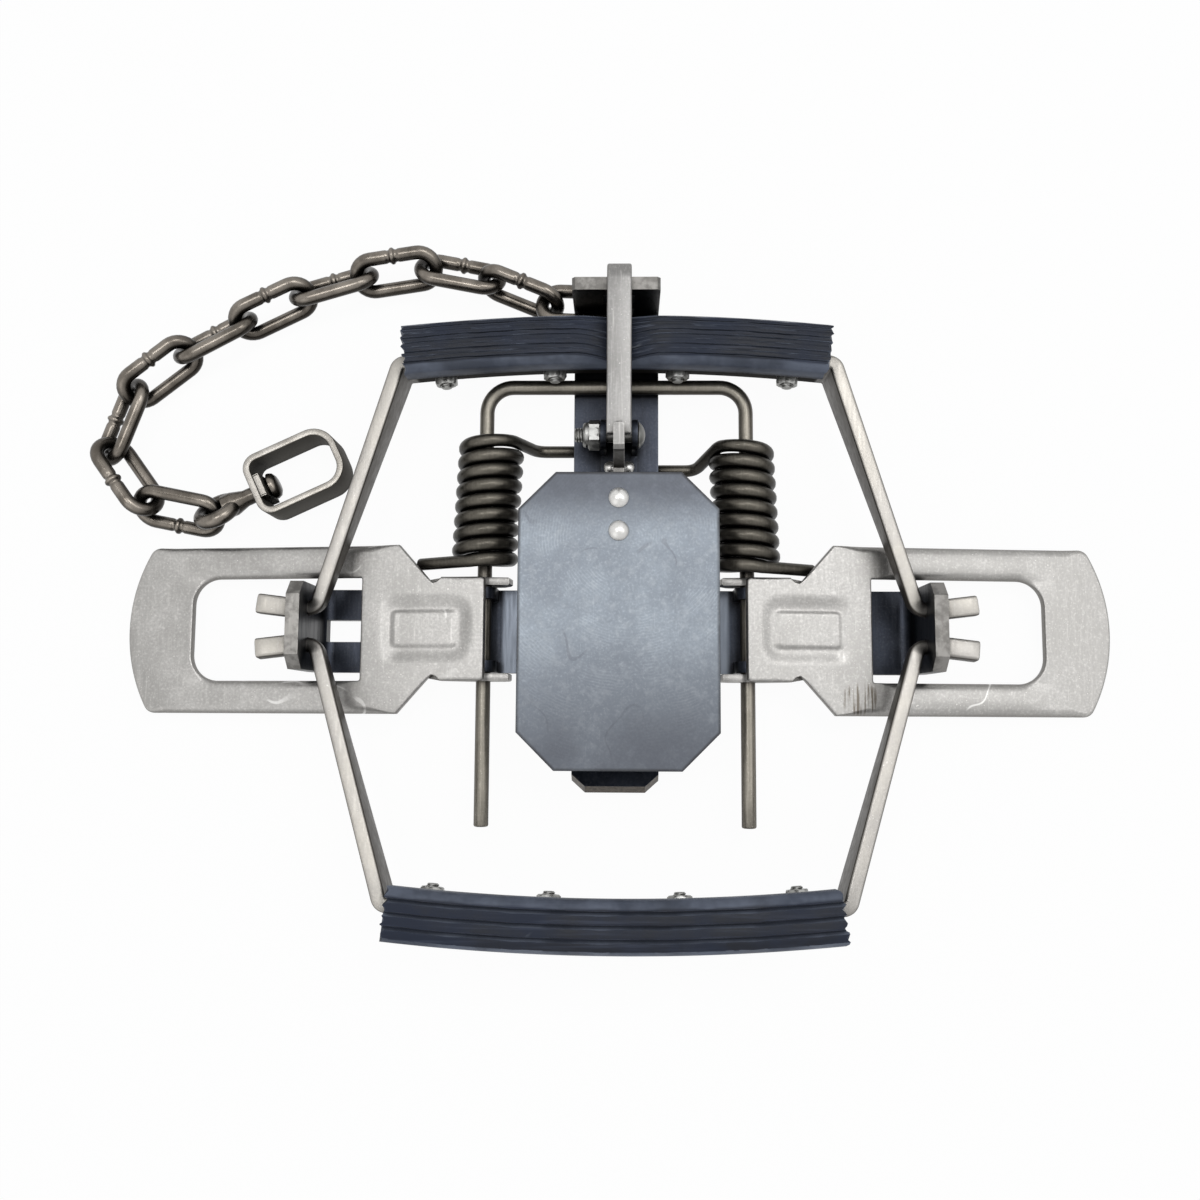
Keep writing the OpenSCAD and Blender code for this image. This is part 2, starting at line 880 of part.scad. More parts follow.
// centre line of a spring, X toward the middle of the trap from the coil axis
start_turn = -28;
end_turn = 360 * turns + 62;
leg_low = wire_r + 0.05;
left_shift = 1;
function coil_point(a) = [coil_r * sin(a), coil_y + pitch * (a - start_turn) / 360, coil_r * cos(a)];
function coil_line(leg_y) =
    let (first = coil_point(start_turn))
    let (last = coil_point(end_turn))
    let (out = [-cos(start_turn), 0, sin(start_turn)])
    let (down = [cos(end_turn), 0, -sin(end_turn)])
    let (knee_z = leg_low - rod_z)
    let (drop = (last[2] - knee_z) / sin(end_turn))
    let (knee = [last[0] + down[0] * (drop - 2.2), leg_y, last[2] + down[2] * (drop - 2.2)])
    let (flat = [last[0] + down[0] * drop + 2.2, leg_y, knee_z])
    concat(
        [first + out * 16, first + out * 8],
        [for (a = [start_turn:45:end_turn - 20]) coil_point(a)],
        [last, knee, flat, [rod_x - 1, leg_y, knee_z]]
    );

// unit vector between two points
function unit(v) = v / norm(v);

// ring of points around one place on a line
spring_sides = 6;
function tangent(line, i) =
    i == 0 ? unit(line[1] - line[0])
    : i == len(line) - 1 ? unit(line[i] - line[i - 1])
    : unit(unit(line[i + 1] - line[i]) + unit(line[i] - line[i - 1]));
function ring(line, i) =
    let (t = tangent(line, i))
    let (u = unit(cross(t, [0, 1, 0.02])))
    let (v = cross(t, u))
    [for (k = [0:spring_sides - 1])
        line[i] + wire_r * (u * cos(360 * k / spring_sides) + v * sin(360 * k / spring_sides))];

module tube(line) {
    n = len(line);
    s = spring_sides;
    points = [for (i = [0:n - 1]) each ring(line, i)];
    sides = [
        for (i = [0:n - 2])
            for (k = [0:s - 1])
                let (a = i * s + k, b = i * s + (k + 1) % s)
                each [[a, b, b + s], [a, b + s, a + s]]
    ];
    first = [for (k = [1:s - 2]) [0, k + 1, k]];
    last = [for (k = [1:s - 2]) [(n - 1) * s, (n - 1) * s + k, (n - 1) * s + k + 1]];
    polyhedron(points, concat(first, sides, last), convexity = 10);
}

left_line = coil_line(coil_y + pitch * turns + 0.6);
right_line = coil_line(coil_y + pitch * turns - 3.2);

// least gap between parts of the wire that are not neighbours
function self_gap(line) =
    min([for (i = [0:len(line) - 1]) for (j = [i + 5:1:len(line) - 1]) norm(line[i] - line[j])]) - 2 * wire_r;
echo(left_spring_gap = self_gap(left_line), right_spring_gap = self_gap(right_line));

module spring_left() {
    color(oiled_steel)
        translate([-rod_x, left_shift, rod_z])
            tube(left_line);
}

module spring_right() {
    color(oiled_steel)
        mirror([1, 0, 0])
            translate([-rod_x, 0, rod_z])
                tube(right_line);
}

// welded chain link along X with its start wire at the origin
module link_form() {
    reach = link_long / 2 - link_r - link_arc;
    translate([link_long / 2 - link_r, 0, 0]) {
        for (side = [0, 1])
            mirror([side, 0, 0])
                translate([reach, 0, 0])
                    rotate([0, 0, -90])
                        rotate_extrude(angle = 180, $fn = 20)
                            translate([link_arc, 0])
                                circle(r = link_r, $fn = 14);
        for (side = [-1, 1])
            translate([-reach, side * link_arc, 0])
                rotate([0, 90, 0])
                    cylinder(r = link_r, h = 2 * reach, $fn = 14);
        translate([-0.9, -link_arc, 0])
            rotate([0, 90, 0])
                cylinder(r = link_r + 0.3, h = 1.8, $fn = 14);
    }
}

module chain_link(i) {
    color(oiled_steel)
        translate(link_start(i))
            rotate([link_turns[i][2], link_turns[i][1], link_turns[i][0]])
                link_form();
}

module chain_link_01() { chain_link(0); }
module chain_link_02() { chain_link(1); }
module chain_link_03() { chain_link(2); }
module chain_link_04() { chain_link(3); }
module chain_link_05() { chain_link(4); }
module chain_link_06() { chain_link(5); }
module chain_link_07() { chain_link(6); }
module chain_link_08() { chain_link(7); }
module chain_link_09() { chain_link(8); }
module chain_link_10() { chain_link(9); }
module chain_link_11() { chain_link(10); }

module swivel_eye() {
    color(oiled_steel)
        translate(eye_start)
            rotate([link_turns[11][2], link_turns[11][1], link_turns[11][0]]) {
                translate([eye_arc, 0, 0])
                    rotate_extrude($fn = 28)
                        translate([eye_arc, 0])
                            circle(r = eye_r, $fn = 16);
                translate([2 * eye_arc - 0.4, 0, 0])
                    rotate([0, 90, 0])
                        cylinder(r = shank_r, h = eye_long - 2 * eye_arc + 2 * box_t + 1.2);
                translate([eye_long + 2 * box_t + 0.4, 0, 0])
                    rotate([0, 90, 0])
                        cylinder(r = 3.6, h = 2.6);
            }
}

// outline of the swivel box seen from above, rounded at both ends
module box_outline(inset, round) {
    long = box_l - inset;
    half = box_w / 2 - inset;
    translate([inset + round, -half])
        square([long - inset - 2 * round, 2 * half]);
    translate([inset, round - half])
        square([long - inset, 2 * half - 2 * round]);
    for (x = [inset + round, long - round])
        for (y = [round - half, half - round])
            translate([x, y])
                circle(r = round);
}

module swivel_box() {
    color(oiled_steel)
        translate(box_start)
            rotate([0, 0, link_turns[11][0]])
                difference() {
                    translate([0, 0, -box_d / 2]) {
                        difference() {
                            linear_extrude(box_d)
                                box_outline(0, 4.2);
                            translate([0, 0, -1])
                                linear_extrude(box_d + 2)
                                    box_outline(box_t, 2.6);
                        }
                        // lapped end of the strip inside the end wall
                        translate([box_t - 0.1, -box_w / 2 + 4.4, 0])
                            cube([box_t + 0.1, box_w - 8.8, box_d]);
                    }
                    translate([-1, 0, 0])
                        rotate([0, 90, 0])
                            cylinder(r = shank_r + 0.3, h = 2 * box_t + 2);
                }
}

base_bar();
cross_bar();
frame_rivets();
pan_bracket();
bracket_rivets();
pan_bolt();
pan_nut();
pan();
pan_shank();
pan_rivets();
dog();
far_jaw();
near_jaw();
far_pad();
near_pad();
far_pad_bolts();
near_pad_bolts();
far_pad_nuts();
near_pad_nuts();
lever_left();
lever_right();
pivot_rod();
spring_left();
spring_right();
chain_link_01();
chain_link_02();
chain_link_03();
chain_link_04();
chain_link_05();
chain_link_06();
chain_link_07();
chain_link_08();
chain_link_09();
chain_link_10();
chain_link_11();
swivel_eye();
swivel_box();
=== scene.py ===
import math

import bmesh
import bpy
import numpy as np
from mathutils import Matrix, Vector


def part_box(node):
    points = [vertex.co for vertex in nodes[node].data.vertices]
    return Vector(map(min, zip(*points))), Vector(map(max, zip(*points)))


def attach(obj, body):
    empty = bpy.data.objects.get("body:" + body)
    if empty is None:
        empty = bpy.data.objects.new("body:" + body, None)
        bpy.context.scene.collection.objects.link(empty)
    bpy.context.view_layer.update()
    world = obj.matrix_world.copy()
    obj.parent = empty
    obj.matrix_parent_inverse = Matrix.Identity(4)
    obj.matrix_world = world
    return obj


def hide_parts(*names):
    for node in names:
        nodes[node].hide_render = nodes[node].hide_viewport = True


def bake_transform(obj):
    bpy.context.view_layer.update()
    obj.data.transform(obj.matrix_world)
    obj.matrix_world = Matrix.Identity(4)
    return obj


mm = 0.001
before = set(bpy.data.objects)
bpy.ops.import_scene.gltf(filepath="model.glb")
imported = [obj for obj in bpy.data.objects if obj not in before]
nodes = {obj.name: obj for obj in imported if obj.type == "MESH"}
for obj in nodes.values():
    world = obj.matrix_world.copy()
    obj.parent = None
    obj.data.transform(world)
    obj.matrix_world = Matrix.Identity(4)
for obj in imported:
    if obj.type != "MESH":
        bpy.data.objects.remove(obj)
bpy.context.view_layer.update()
scene = bpy.context.scene
scene.view_settings.view_transform = "Standard"
print("frame loaded,", len(nodes), "nodes")


# small shape helpers, all in millimetres

def turn(axis, degrees):
    return Matrix.Rotation(math.radians(degrees), 4, axis)


def shift(x, y, z):
    return Matrix.Translation((x, y, z))


mirrorX = Matrix.Diagonal((-1, 1, 1, 1))
mirrorY = Matrix.Diagonal((1, -1, 1, 1))


def moved(shape, matrix):
    points, faces = shape
    return [tuple(matrix @ Vector(p)) for p in points], faces


def merged(*shapes):
    points, faces = [], []
    for more, ring in shapes:
        base = len(points)
        points += [tuple(p) for p in more]
        faces += [tuple(i + base for i in face) for face in ring]
    return points, faces


def skinned(rings, loop=False):
    # quads between rings of equal length, with flat ends unless the rings close on themselves
    count, size = len(rings), len(rings[0])
    points = [tuple(p) for ring in rings for p in ring]
    faces = []
    for i in range(count if loop else count - 1):
        j = (i + 1) % count
        for k in range(size):
            n = (k + 1) % size
            faces.append((i * size + k, i * size + n, j * size + n, j * size + k))
    if not loop:
        faces.append(tuple(range(size - 1, -1, -1)))
        faces.append(tuple((count - 1) * size + k for k in range(size)))
    return points, faces


def unit(v):
    v = np.asarray(v, float)
    return v / np.linalg.norm(v)


def smooth(low, high, value):
    t = np.clip((np.asarray(value, float) - low) / (high - low), 0, 1)
    return t * t * (3 - 2 * t)


def within(a, b, c, d, value):
    # rises from a to b and falls from c to d
    return smooth(a, b, value) * (1 - smooth(c, d, value))


def tangents(path, loop=False):
    path = np.asarray(path, float)
    if loop:
        ahead, behind = np.roll(path, -1, 0), np.roll(path, 1, 0)
    else:
        ahead = np.vstack([path[1:], path[-1:]])
        behind = np.vstack([path[:1], path[:-1]])
    way = ahead - behind
    return way / np.linalg.norm(way, axis=1)[:, None]


def around(steps):
    return np.arange(steps) * 2 * math.pi / steps


def ringAt(radius, z, steps):
    # level ring of points about Z, with one radius or one for each point
    angles = around(steps)
    return np.column_stack([radius * np.cos(angles), radius * np.sin(angles), np.full(steps, z)])


def roundedSection(half, low, high, radius, steps=4):
    # rectangle from low to high with round corners, counted the same for every size
    radius = min(radius, half, (high - low) / 2)
    corners = [(half - radius, high - radius, 0), (radius - half, high - radius, 90),
               (radius - half, low + radius, 180), (half - radius, low + radius, 270)]
    section = []
    for u, v, first in corners:
        for k in range(steps + 1):
            a = math.radians(first + 90 * k / steps)
            section.append((u + radius * math.cos(a), v + radius * math.sin(a)))
    return np.array(section)


def framed(path, loop=False, up=None):
    # side and up vectors along a path, with a fixed up or with the least twist
    path = np.asarray(path, float)
    way = tangents(path, loop)
    sides, ups = [], []
    lift = np.array([0.0, 0.0, 1.0]) if up is None else np.asarray(up, float)
    if abs(unit(lift) @ way[0]) > 0.95:
        lift = np.array([0.0, 1.0, 0.0])
    for t in way:
        side = unit(np.cross(lift, t))
        top = np.cross(t, side)
        sides.append(side)
        ups.append(top)
        if up is None:
            lift = top
    return path, way, np.array(sides), np.array(ups)


def swept(path, sections, loop=False, up=None, endRound=0.0):
    # sections: one for the whole path or one for each point
    path, way, sides, ups = framed(path, loop, up)
    if isinstance(sections, np.ndarray):
        sections = [sections] * len(path)
    rings = [p + s[:, :1] * side + s[:, 1:] * top for p, s, side, top in zip(path, sections, sides, ups)]
    if endRound and not loop:
        rings = roundedEnd(rings, way[0], endRound)[::-1]
        rings = roundedEnd(rings, -way[-1], endRound)[::-1]
    return skinned(rings, loop)


def roundedEnd(rings, inward, size):
    # replaces the first ring by three that draw in
    first = np.asarray(rings[0])
    middle = first.mean(0)
    reach = np.linalg.norm(first - middle, axis=1).mean()
    extra = []
    for along, draw in ((0.0, 1.0), (0.3, 0.3), (1.0, 0.0)):
        extra.append(middle + (first - middle) * (1 - draw * size / reach) + inward * along * size)
    return extra + [np.asarray(r) for r in rings[1:]]


def tube(path, radius, sides=16, loop=False, endRound=0.0):
    radius = np.broadcast_to(np.asarray(radius, float), (len(path),))
    return swept(path, [ringAt(r, 0, sides)[:, :2] for r in radius], loop, None, endRound)


def arc(middle, radius, first, last, steps):
    angles = np.radians(np.linspace(first, last, steps + 1))
    return np.column_stack([middle[0] + radius * np.cos(angles), middle[1] + radius * np.sin(angles)])


def turnedForm(profile, steps=32):
    # a lathe form about Z from (radius, height) points, from the bottom to the top
    return skinned([ringAt(max(r, 0.02), z, steps) for r, z in profile])


def domed(radius, height, edge, steps=6):
    # round head that stands on zero
    ball = (radius * radius + height * height) / (2 * height)
    top = math.asin(min(1, radius / ball))
    profile = [(radius - edge, 0), (radius, edge)]
    for k in range(1, steps + 1):
        a = top * (1 - k / steps)
        profile.append((ball * math.sin(a), ball * math.cos(a) - ball + height + edge))
    return profile


def hexForm(flats, height, bore, chamfer=0.35, lead=0.3, steps=48):
    # hexagon nut with its corners turned off and an open bore
    sector = (around(steps) + math.pi / 6) % (math.pi / 3) - math.pi / 6
    hexagon = flats / 2 / np.cos(sector)
    corner, face = flats / 2 / math.cos(math.pi / 6), flats / 2 - 0.1
    outside = ((0, face), (chamfer, corner), (height - chamfer, corner), (height, face))
    inside = ((height, bore + lead), (height - lead, bore), (lead, bore), (0, bore + lead))
    rings = [ringAt(np.minimum(hexagon, limit), z, steps) for z, limit in outside]
    return skinned(rings + [ringAt(r, z, steps) for z, r in inside], True)


def threaded(radius, low, high, pitch=0.7, depth=0.28, tip=0.5, steps=24):
    # bolt end with a real helix on it, chamfered at its tip on the high side
    rings = []
    for z in np.arange(low, high + 1e-6, pitch / 6):
        wave = np.abs(((z / pitch - around(steps) / (2 * math.pi)) % 1) * 2 - 1)
        chamfer = radius - tip + max(0.0, high - z)
        rings.append(ringAt(np.minimum(radius - depth * wave, chamfer), z, steps))
    return skinned(rings)


def placed(name, data):
    made = bpy.data.objects.new(name, data)
    scene.collection.objects.link(made)
    return made


def piece(name, shape, sharp=38):
    points, faces = shape
    mesh = bpy.data.meshes.new(name)
    mesh.from_pydata([(x * mm, y * mm, z * mm) for x, y, z in points], [], faces)
    tidyMesh(mesh, sharp)
    return placed(name, mesh)


def tidyMesh(mesh, sharp):
    form = bmesh.new()
    form.from_mesh(mesh)
    bmesh.ops.recalc_face_normals(form, faces=form.faces)
    form.to_mesh(mesh)
    form.free()
    mesh.shade_smooth()
    mesh.set_sharp_from_angle(angle=math.radians(sharp))


def dress(name, node, edge, sharp=32, reshape=None):
    # copy of a CAD node with its edges broken, after a small change of shape where one is given
    mesh = nodes[node].data.copy()
    mesh.name = name
    mesh.materials.clear()
    form = bmesh.new()
    form.from_mesh(mesh)
    bmesh.ops.remove_doubles(form, verts=form.verts, dist=1e-6)
    bmesh.ops.dissolve_limit(form, angle_limit=math.radians(1), verts=form.verts, edges=form.edges)
    if reshape:
        reshape(form)
    hard = [e for e in form.edges if len(e.link_faces) == 2 and e.calc_face_angle() > math.radians(sharp)]
    bmesh.ops.bevel(form, geom=hard, offset=edge * mm, offset_type="OFFSET", segments=3, profile=0.5,
                    affect="EDGES", clamp_overlap=True)
    form.to_mesh(mesh)
    form.free()
    tidyMesh(mesh, sharp)
    smallFace = 4 * mm * mm
    for face in mesh.polygons:
        face.use_smooth = face.area < smallFace  # the wide faces stay flat
    return placed(name, mesh)


def settle(made, body, finish, slot, *replaced):
    made.data.materials.clear()
    made.data.materials.append(finish)
    if replaced:
        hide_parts(*replaced)
    if body:
        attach(made, body)


# finishes

def add(tree, kind, sockets=None, out=0, **settings):
    # new shader node with its settings and sockets, of which one output goes on
    made = tree.nodes.new("ShaderNode" + kind)
    for name, value in settings.items():
        setattr(made, name, value)
    for socket, value in (sockets or {}).items():
        if isinstance(value, bpy.types.NodeSocket):
            tree.links.new(value, made.inputs[socket])
        else:
            made.inputs[socket].default_value = value
    return made.outputs[out]


def newFinish(name):
    finish = bpy.data.materials.new(name)
    finish.use_nodes = True
    tree = finish.node_tree
    return finish, tree, tree.nodes["Principled BSDF"]


def mapped(tree, sockets, how="POINT"):
    # place of the surface on the piece, moved, turned or scaled
    place = add(tree, "TexCoord", out="Object")
    return add(tree, "Mapping", {"Vector": place, **sockets}, vector_type=how)


def grain(tree, scale, stretch=(1, 1, 1), tilt=0, detail=4.0, rough=0.6):
    # noise over the piece, in features per metre, drawn out along an axis by a small stretch value
    bend = mapped(tree, {"Rotation": (0, 0, math.radians(tilt)), "Scale": stretch})
    noise = {"Vector": bend, "Scale": scale, "Detail": detail, "Roughness": rough}
    return add(tree, "TexNoise", noise, "Fac")


def spread(tree, value, low, high, first=0.0, last=1.0):
    # soft change from first to last between a low and a high value
    return add(tree, "MapRange", {"Value": value, "From Min": low, "From Max": high, "To Min": first,
                                  "To Max": last}, "Result", interpolation_type="SMOOTHSTEP")


def sums(tree, how, a, b=0):
    return add(tree, "Math", {0: a, 1: b}, operation=how)


def times(tree, *masks):
    made = masks[0]
    for mask in masks[1:]:
        made = sums(tree, "MULTIPLY", made, mask)
    return made


def tint(tree, amount, *colours):
    a, b = [c if isinstance(c, bpy.types.NodeSocket) else (*c, 1) for c in colours]
    return add(tree, "Mix", {0: amount, 6: a, 7: b}, 2, data_type="RGBA", blend_type="MIX")


def corners(tree, size):
    # 1 in crevices
    free = add(tree, "AmbientOcclusion", {"Distance": size * mm}, "AO", samples=6)
    return spread(tree, free, 0.35, 0.95, 1.0, 0.0)


def rubbed(tree, size):
    # 1 on outer edges
    soft = add(tree, "Bevel", {"Radius": size * mm}, "Normal", samples=4)
    plain = add(tree, "NewGeometry", out="Normal")
    alike = add(tree, "VectorMath", {0: soft, 1: plain}, "Value", operation="DOT_PRODUCT")
    return spread(tree, alike, 0.88, 0.995, 1.0, 0.0)


def facing(tree):
    # height of the piece's own surface normal
    return add(tree, "SeparateXYZ", {0: add(tree, "TexCoord", out="Normal")}, "Z")


def where(tree, axis):
    # place of the surface on the piece along one axis
    return add(tree, "SeparateXYZ", {0: add(tree, "TexCoord", out="Object")}, axis)


def apart(tree, value, middle=0.0):
    # distance from a middle value
    return sums(tree, "ABSOLUTE", sums(tree, "SUBTRACT", value, middle))


def across(tree):
    return apart(tree, where(tree, "X"))


def plateEdge(tree, node, cut):
    # distance to the nearest edge of an eight sided plate
    low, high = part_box(node)
    middle, half = (low + high) / 2, (high - low) / 2
    x, y = apart(tree, where(tree, "X"), middle.x), apart(tree, where(tree, "Y"), middle.y)
    straight = sums(tree, "MINIMUM", sums(tree, "SUBTRACT", half.x, x), sums(tree, "SUBTRACT", half.y, y))
    slant = sums(tree, "SUBTRACT", half.x + half.y - cut * mm, sums(tree, "ADD", x, y))
    return sums(tree, "MINIMUM", straight, times(tree, slant, math.sqrt(0.5)))


def hairs(tree):
    # short curly scratches along the level lines of a noise
    level = apart(tree, grain(tree, 38, detail=1.5), 0.5)
    return times(tree, spread(tree, level, 0.003, 0.007, 1.0, 0.0),
                 spread(tree, grain(tree, 70, detail=1), 0.545, 0.6))


def strokes(tree, middle, size):
    # slanted file strokes in one small patch
    patch = {"Location": [v * mm for v in middle], "Scale": [v * mm for v in size]}
    bend = mapped(tree, patch, "TEXTURE")
    far = add(tree, "VectorMath", {0: bend}, "Value", operation="LENGTH")
    return times(tree, spread(tree, far, 0.6, 1.0, 1.0, 0.0),
                 spread(tree, grain(tree, 1.0, (1300, 60, 60), 20, detail=2), 0.47, 0.6))


def swirls(tree):
    # broken arcs of a polishing wheel round the nearer pan rivet
    bend = mapped(tree, {"Location": (-0.004, -0.022, -0.0248)})
    wave = {"Vector": bend, "Scale": 420, "Distortion": 5.0, "Detail": 3.0, "Detail Scale": 0.6}
    rings = add(tree, "TexWave", wave, "Fac", wave_type="RINGS", rings_direction="SPHERICAL")
    return times(tree, spread(tree, rings, 0.55, 1.0), spread(tree, grain(tree, 90, detail=2), 0.48, 0.66))


def pressed(tree, shader, height, distance):
    bump = add(tree, "Bump", {"Strength": 1.0, "Distance": distance * mm, "Height": height}, "Normal")
    tree.links.new(bump, shader.inputs["Normal"])


def steelFinish(name, look):
    finish, tree, shader = newFinish(name)
    cloud = grain(tree, look["cloud"], detail=5)
    fine = grain(tree, 1500, detail=4)
    brush = grain(tree, 1.0, look["brush"], detail=3, rough=0.55)
    colour = tint(tree, spread(tree, cloud, 0.32, 0.68), look["dark"], look["base"])

    def coat(tone, *masks):
        # one more tone over the rest, as strong as its masks
        nonlocal colour
        colour = tint(tree, times(tree, *masks), colour, tone)

    coat(look["dark"], spread(tree, fine, 0.42, 0.75, 0, look["grain"]))
    coat(look["light"], spread(tree, fine, 0.25, 0.5, look["grain"] * 0.5, 0))
    coat(look["light"], spread(tree, brush, 0.45, 0.8, 0, look["brushed"]))
    # fine scratches in three directions
    for tilt in look["scratchTilts"]:
        line = grain(tree, 1.0, (2600, 70, 900), tilt, detail=2)
        coat(look["light"], spread(tree, line, 0.68, 0.76, 0, look["scratched"]))
    coat(look["light"], spread(tree, grain(tree, 1500, detail=1), 0.72, 0.78, 0, look["specks"]))
    # painted shade: faces that turn away from straight up are darkened toward the shade colour, as though lit
    # from above
    sides = sums(tree, "SUBTRACT", 1.0, spread(tree, facing(tree), look["sideFrom"], look["sideTo"]))
    coat(look["shade"], sides, look["sideShade"])
    if look["rub"]:
        uneven = spread(tree, cloud, 0.35, 0.6, 0.4, 1.0)
        coat(look["light"], rubbed(tree, look["rubSize"]), uneven, look["rub"])
    if look["hairs"]:
        coat(look["hairTint"], hairs(tree), look["hairs"])
    if look["swirl"]:
        coat(look["light"], swirls(tree), look["swirl"])
    if look["ends"]:
        # darker toward both ends of the piece
        low, lowEnd, highEnd, high = (v * mm for v in look["ends"])
        along = where(tree, "Y")
        near, far = spread(tree, along, low, lowEnd, 1.0, 0.0), spread(tree, along, highEnd, high)
        coat(look["endTint"], sums(tree, "MAXIMUM", near, far), spread(tree, cloud, 0.3, 0.6, 0.45, 0.85))
    if look["outline"]:
        # painted shade along the plate's outer edge
        edge = spread(tree, plateEdge(tree, *look["outline"]), 0.2 * mm, 0.95 * mm, 0.85, 0.0)
        coat(look["shadowTone"], edge, spread(tree, cloud, 0.35, 0.6, 0.6, 1.0))
    if look["filed"]:
        coat(look["fileTint"], strokes(tree, *look["filed"]), 0.75)
    # painted shade: crevices, corners and faces under other parts are darkened toward the shadow tone by
    # ambient occlusion
    coat(look["shadowTone"], corners(tree, look["creviceShadeReach"]), look["creviceShade"])
    if look["bareAbove"]:
        # the blue is worn off above this height
        spots = spread(tree, grain(tree, 420, detail=5), 0.38, 0.62)
        mottle = tint(tree, spots, look["bareDark"], look["bare"])
        higher = spread(tree, where(tree, "Z"), look["bareAbove"] * mm, (look["bareAbove"] + 0.3) * mm)
        coat(mottle, higher, spread(tree, facing(tree), 0.28, 0.36))
    if look["middle"]:
        # the strip is brighter near its middle, on its flat top
        near = spread(tree, across(tree), (look["middle"] - 1.5) * mm, look["middle"] * mm, 0.8, 0.0)
        coat(look["middleTint"], near, spread(tree, facing(tree), 0.9, 0.97))
    if look["rim"]:
        # rusty end face of the turned up lip
        level = facing(tree)
        front = spread(tree, where(tree, "Y"), (look["rim"] - 0.5) * mm, look["rim"] * mm, 1.0, 0.0)
        coat(tint(tree, spread(tree, fine, 0.4, 0.65), *look["rust"]),
             spread(tree, level, 0.2, 0.3), spread(tree, level, 0.65, 0.75, 1.0, 0.0), front)
    rough = sums(tree, "ADD", times(tree, brush, 0.6), times(tree, cloud, 0.4))
    rough = spread(tree, rough, 0.3, 0.7, *look["rough"])
    if look["sideRough"]:
        # sides are dull, over the length under a pad alone where that is given; there the sides also get
        # painted shadow of the pad
        dull = times(tree, sides, look["sideRough"])
        if look["underPad"]:
            covered = spread(tree, across(tree), (look["underPad"] - 2) * mm, look["underPad"] * mm, 1.0, 0.0)
            dull = times(tree, dull, covered)
            # painted shadow of the pad on the sides of the strip
            coat(look["shadowTone"], dull)
        rough = sums(tree, "MAXIMUM", rough, dull)
    shader.inputs["Metallic"].default_value = look["metal"]
    tree.links.new(colour, shader.inputs["Base Color"])
    tree.links.new(rough, shader.inputs["Roughness"])
    pressed(tree, shader, sums(tree, "ADD", times(tree, brush, 0.6), times(tree, fine, 0.5)), look["bump"])
    return finish


steelLooks = dict(
    cloud=60, brush=(1500, 90, 900), brushed=0.18, scratchTilts=(20, -35, 75), scratched=0.25, specks=0.6,
    sideFrom=0.35, sideTo=0.97, sideShade=0.6, rub=0.35, rubSize=0.6, creviceShade=0.75, creviceShadeReach=7, metal=0.85,
    rough=(0.34, 0.5), bump=0.02, grain=0.3, swirl=0, bareAbove=0, hairs=0, hairTint=(0.8, 0.79, 0.77),
    ends=None, filed=None, middle=0, rim=0, sideRough=0, underPad=0, outline=None,
    base=(0.43, 0.412, 0.388), dark=(0.335, 0.32, 0.3), light=(0.66, 0.645, 0.62), shade=(0.11, 0.102, 0.092),
    shadowTone=(0.05, 0.045, 0.04))
leverLooks = dict(
    steelLooks, hairs=0.6, specks=0.9, grain=0.85, base=(0.43, 0.42, 0.406), dark=(0.325, 0.317, 0.304))
leverSteel = steelFinish("leverSteel", leverLooks)
filedSteel = steelFinish("filedSteel", dict(
    leverLooks, filed=((62.6, -17.6, 11), (6, 5, 30)), fileTint=(0.085, 0.065, 0.042)))
jawSteel = steelFinish("jawSteel", dict(
    steelLooks, sideShade=0.96, sideFrom=0.5, shade=(0.045, 0.039, 0.032), base=(0.43, 0.408, 0.37),
    shadowTone=(0.012, 0.011, 0.01), sideRough=0.9, underPad=54))
dogSteel = steelFinish("dogSteel", dict(
    steelLooks, brushed=0.4, base=(0.275, 0.27, 0.264), dark=(0.21, 0.206, 0.2)))
panSteel = steelFinish("panSteel", dict(
    steelLooks, base=(0.235, 0.265, 0.298), dark=(0.15, 0.168, 0.192), light=(0.42, 0.45, 0.48),
    shade=(0.02, 0.018, 0.016), shadowTone=(0.03, 0.03, 0.032), brush=(500, 500, 500), brushed=0.3, cloud=45,
    grain=0.5, sideFrom=0.6, sideTo=0.995, scratched=0.12, specks=0.15, rub=0.0, outline=("pan", 9.3),
    rough=(0.36, 0.5), sideShade=0.97, swirl=0.17, hairs=0.28, hairTint=(0.07, 0.07, 0.085),
    ends=(-32, 4, 20, 35), endTint=(0.066, 0.07, 0.084)))
bluedLooks = dict(
    steelLooks, base=(0.05, 0.06, 0.085), dark=(0.02, 0.024, 0.036), light=(0.2, 0.21, 0.225),
    shade=(0.004, 0.0045, 0.006), shadowTone=(0.004, 0.0045, 0.006), brushed=0.1, scratched=0.2, specks=0.25,
    rub=0.25, rough=(0.3, 0.46), sideShade=0.95, creviceShade=0.95, creviceShadeReach=12, metal=0.7, bareAbove=22.3,
    bare=(0.235, 0.226, 0.213), bareDark=(0.14, 0.134, 0.125))
bluedSteel = steelFinish("bluedSteel", bluedLooks)
baseSteel = steelFinish("baseSteel", dict(bluedLooks, middle=30.5, middleTint=(0.2, 0.225, 0.265)))
crossSteel = steelFinish("crossSteel", dict(
    bluedLooks, base=(0.062, 0.072, 0.098), dark=(0.025, 0.03, 0.044), rim=-33.8,
    rust=((0.05, 0.04, 0.031), (0.095, 0.078, 0.06))))
springSteel = steelFinish("springSteel", dict(
    steelLooks, base=(0.125, 0.114, 0.095), dark=(0.07, 0.064, 0.053), light=(0.28, 0.26, 0.22),
    shade=(0.012, 0.011, 0.009), shadowTone=(0.006, 0.0055, 0.005), brushed=0.15, scratched=0.1, specks=0.15,
    rub=0.0, rough=(0.3, 0.44), sideFrom=0.2, sideTo=0.99, sideShade=0.95, creviceShade=0.95, creviceShadeReach=6))
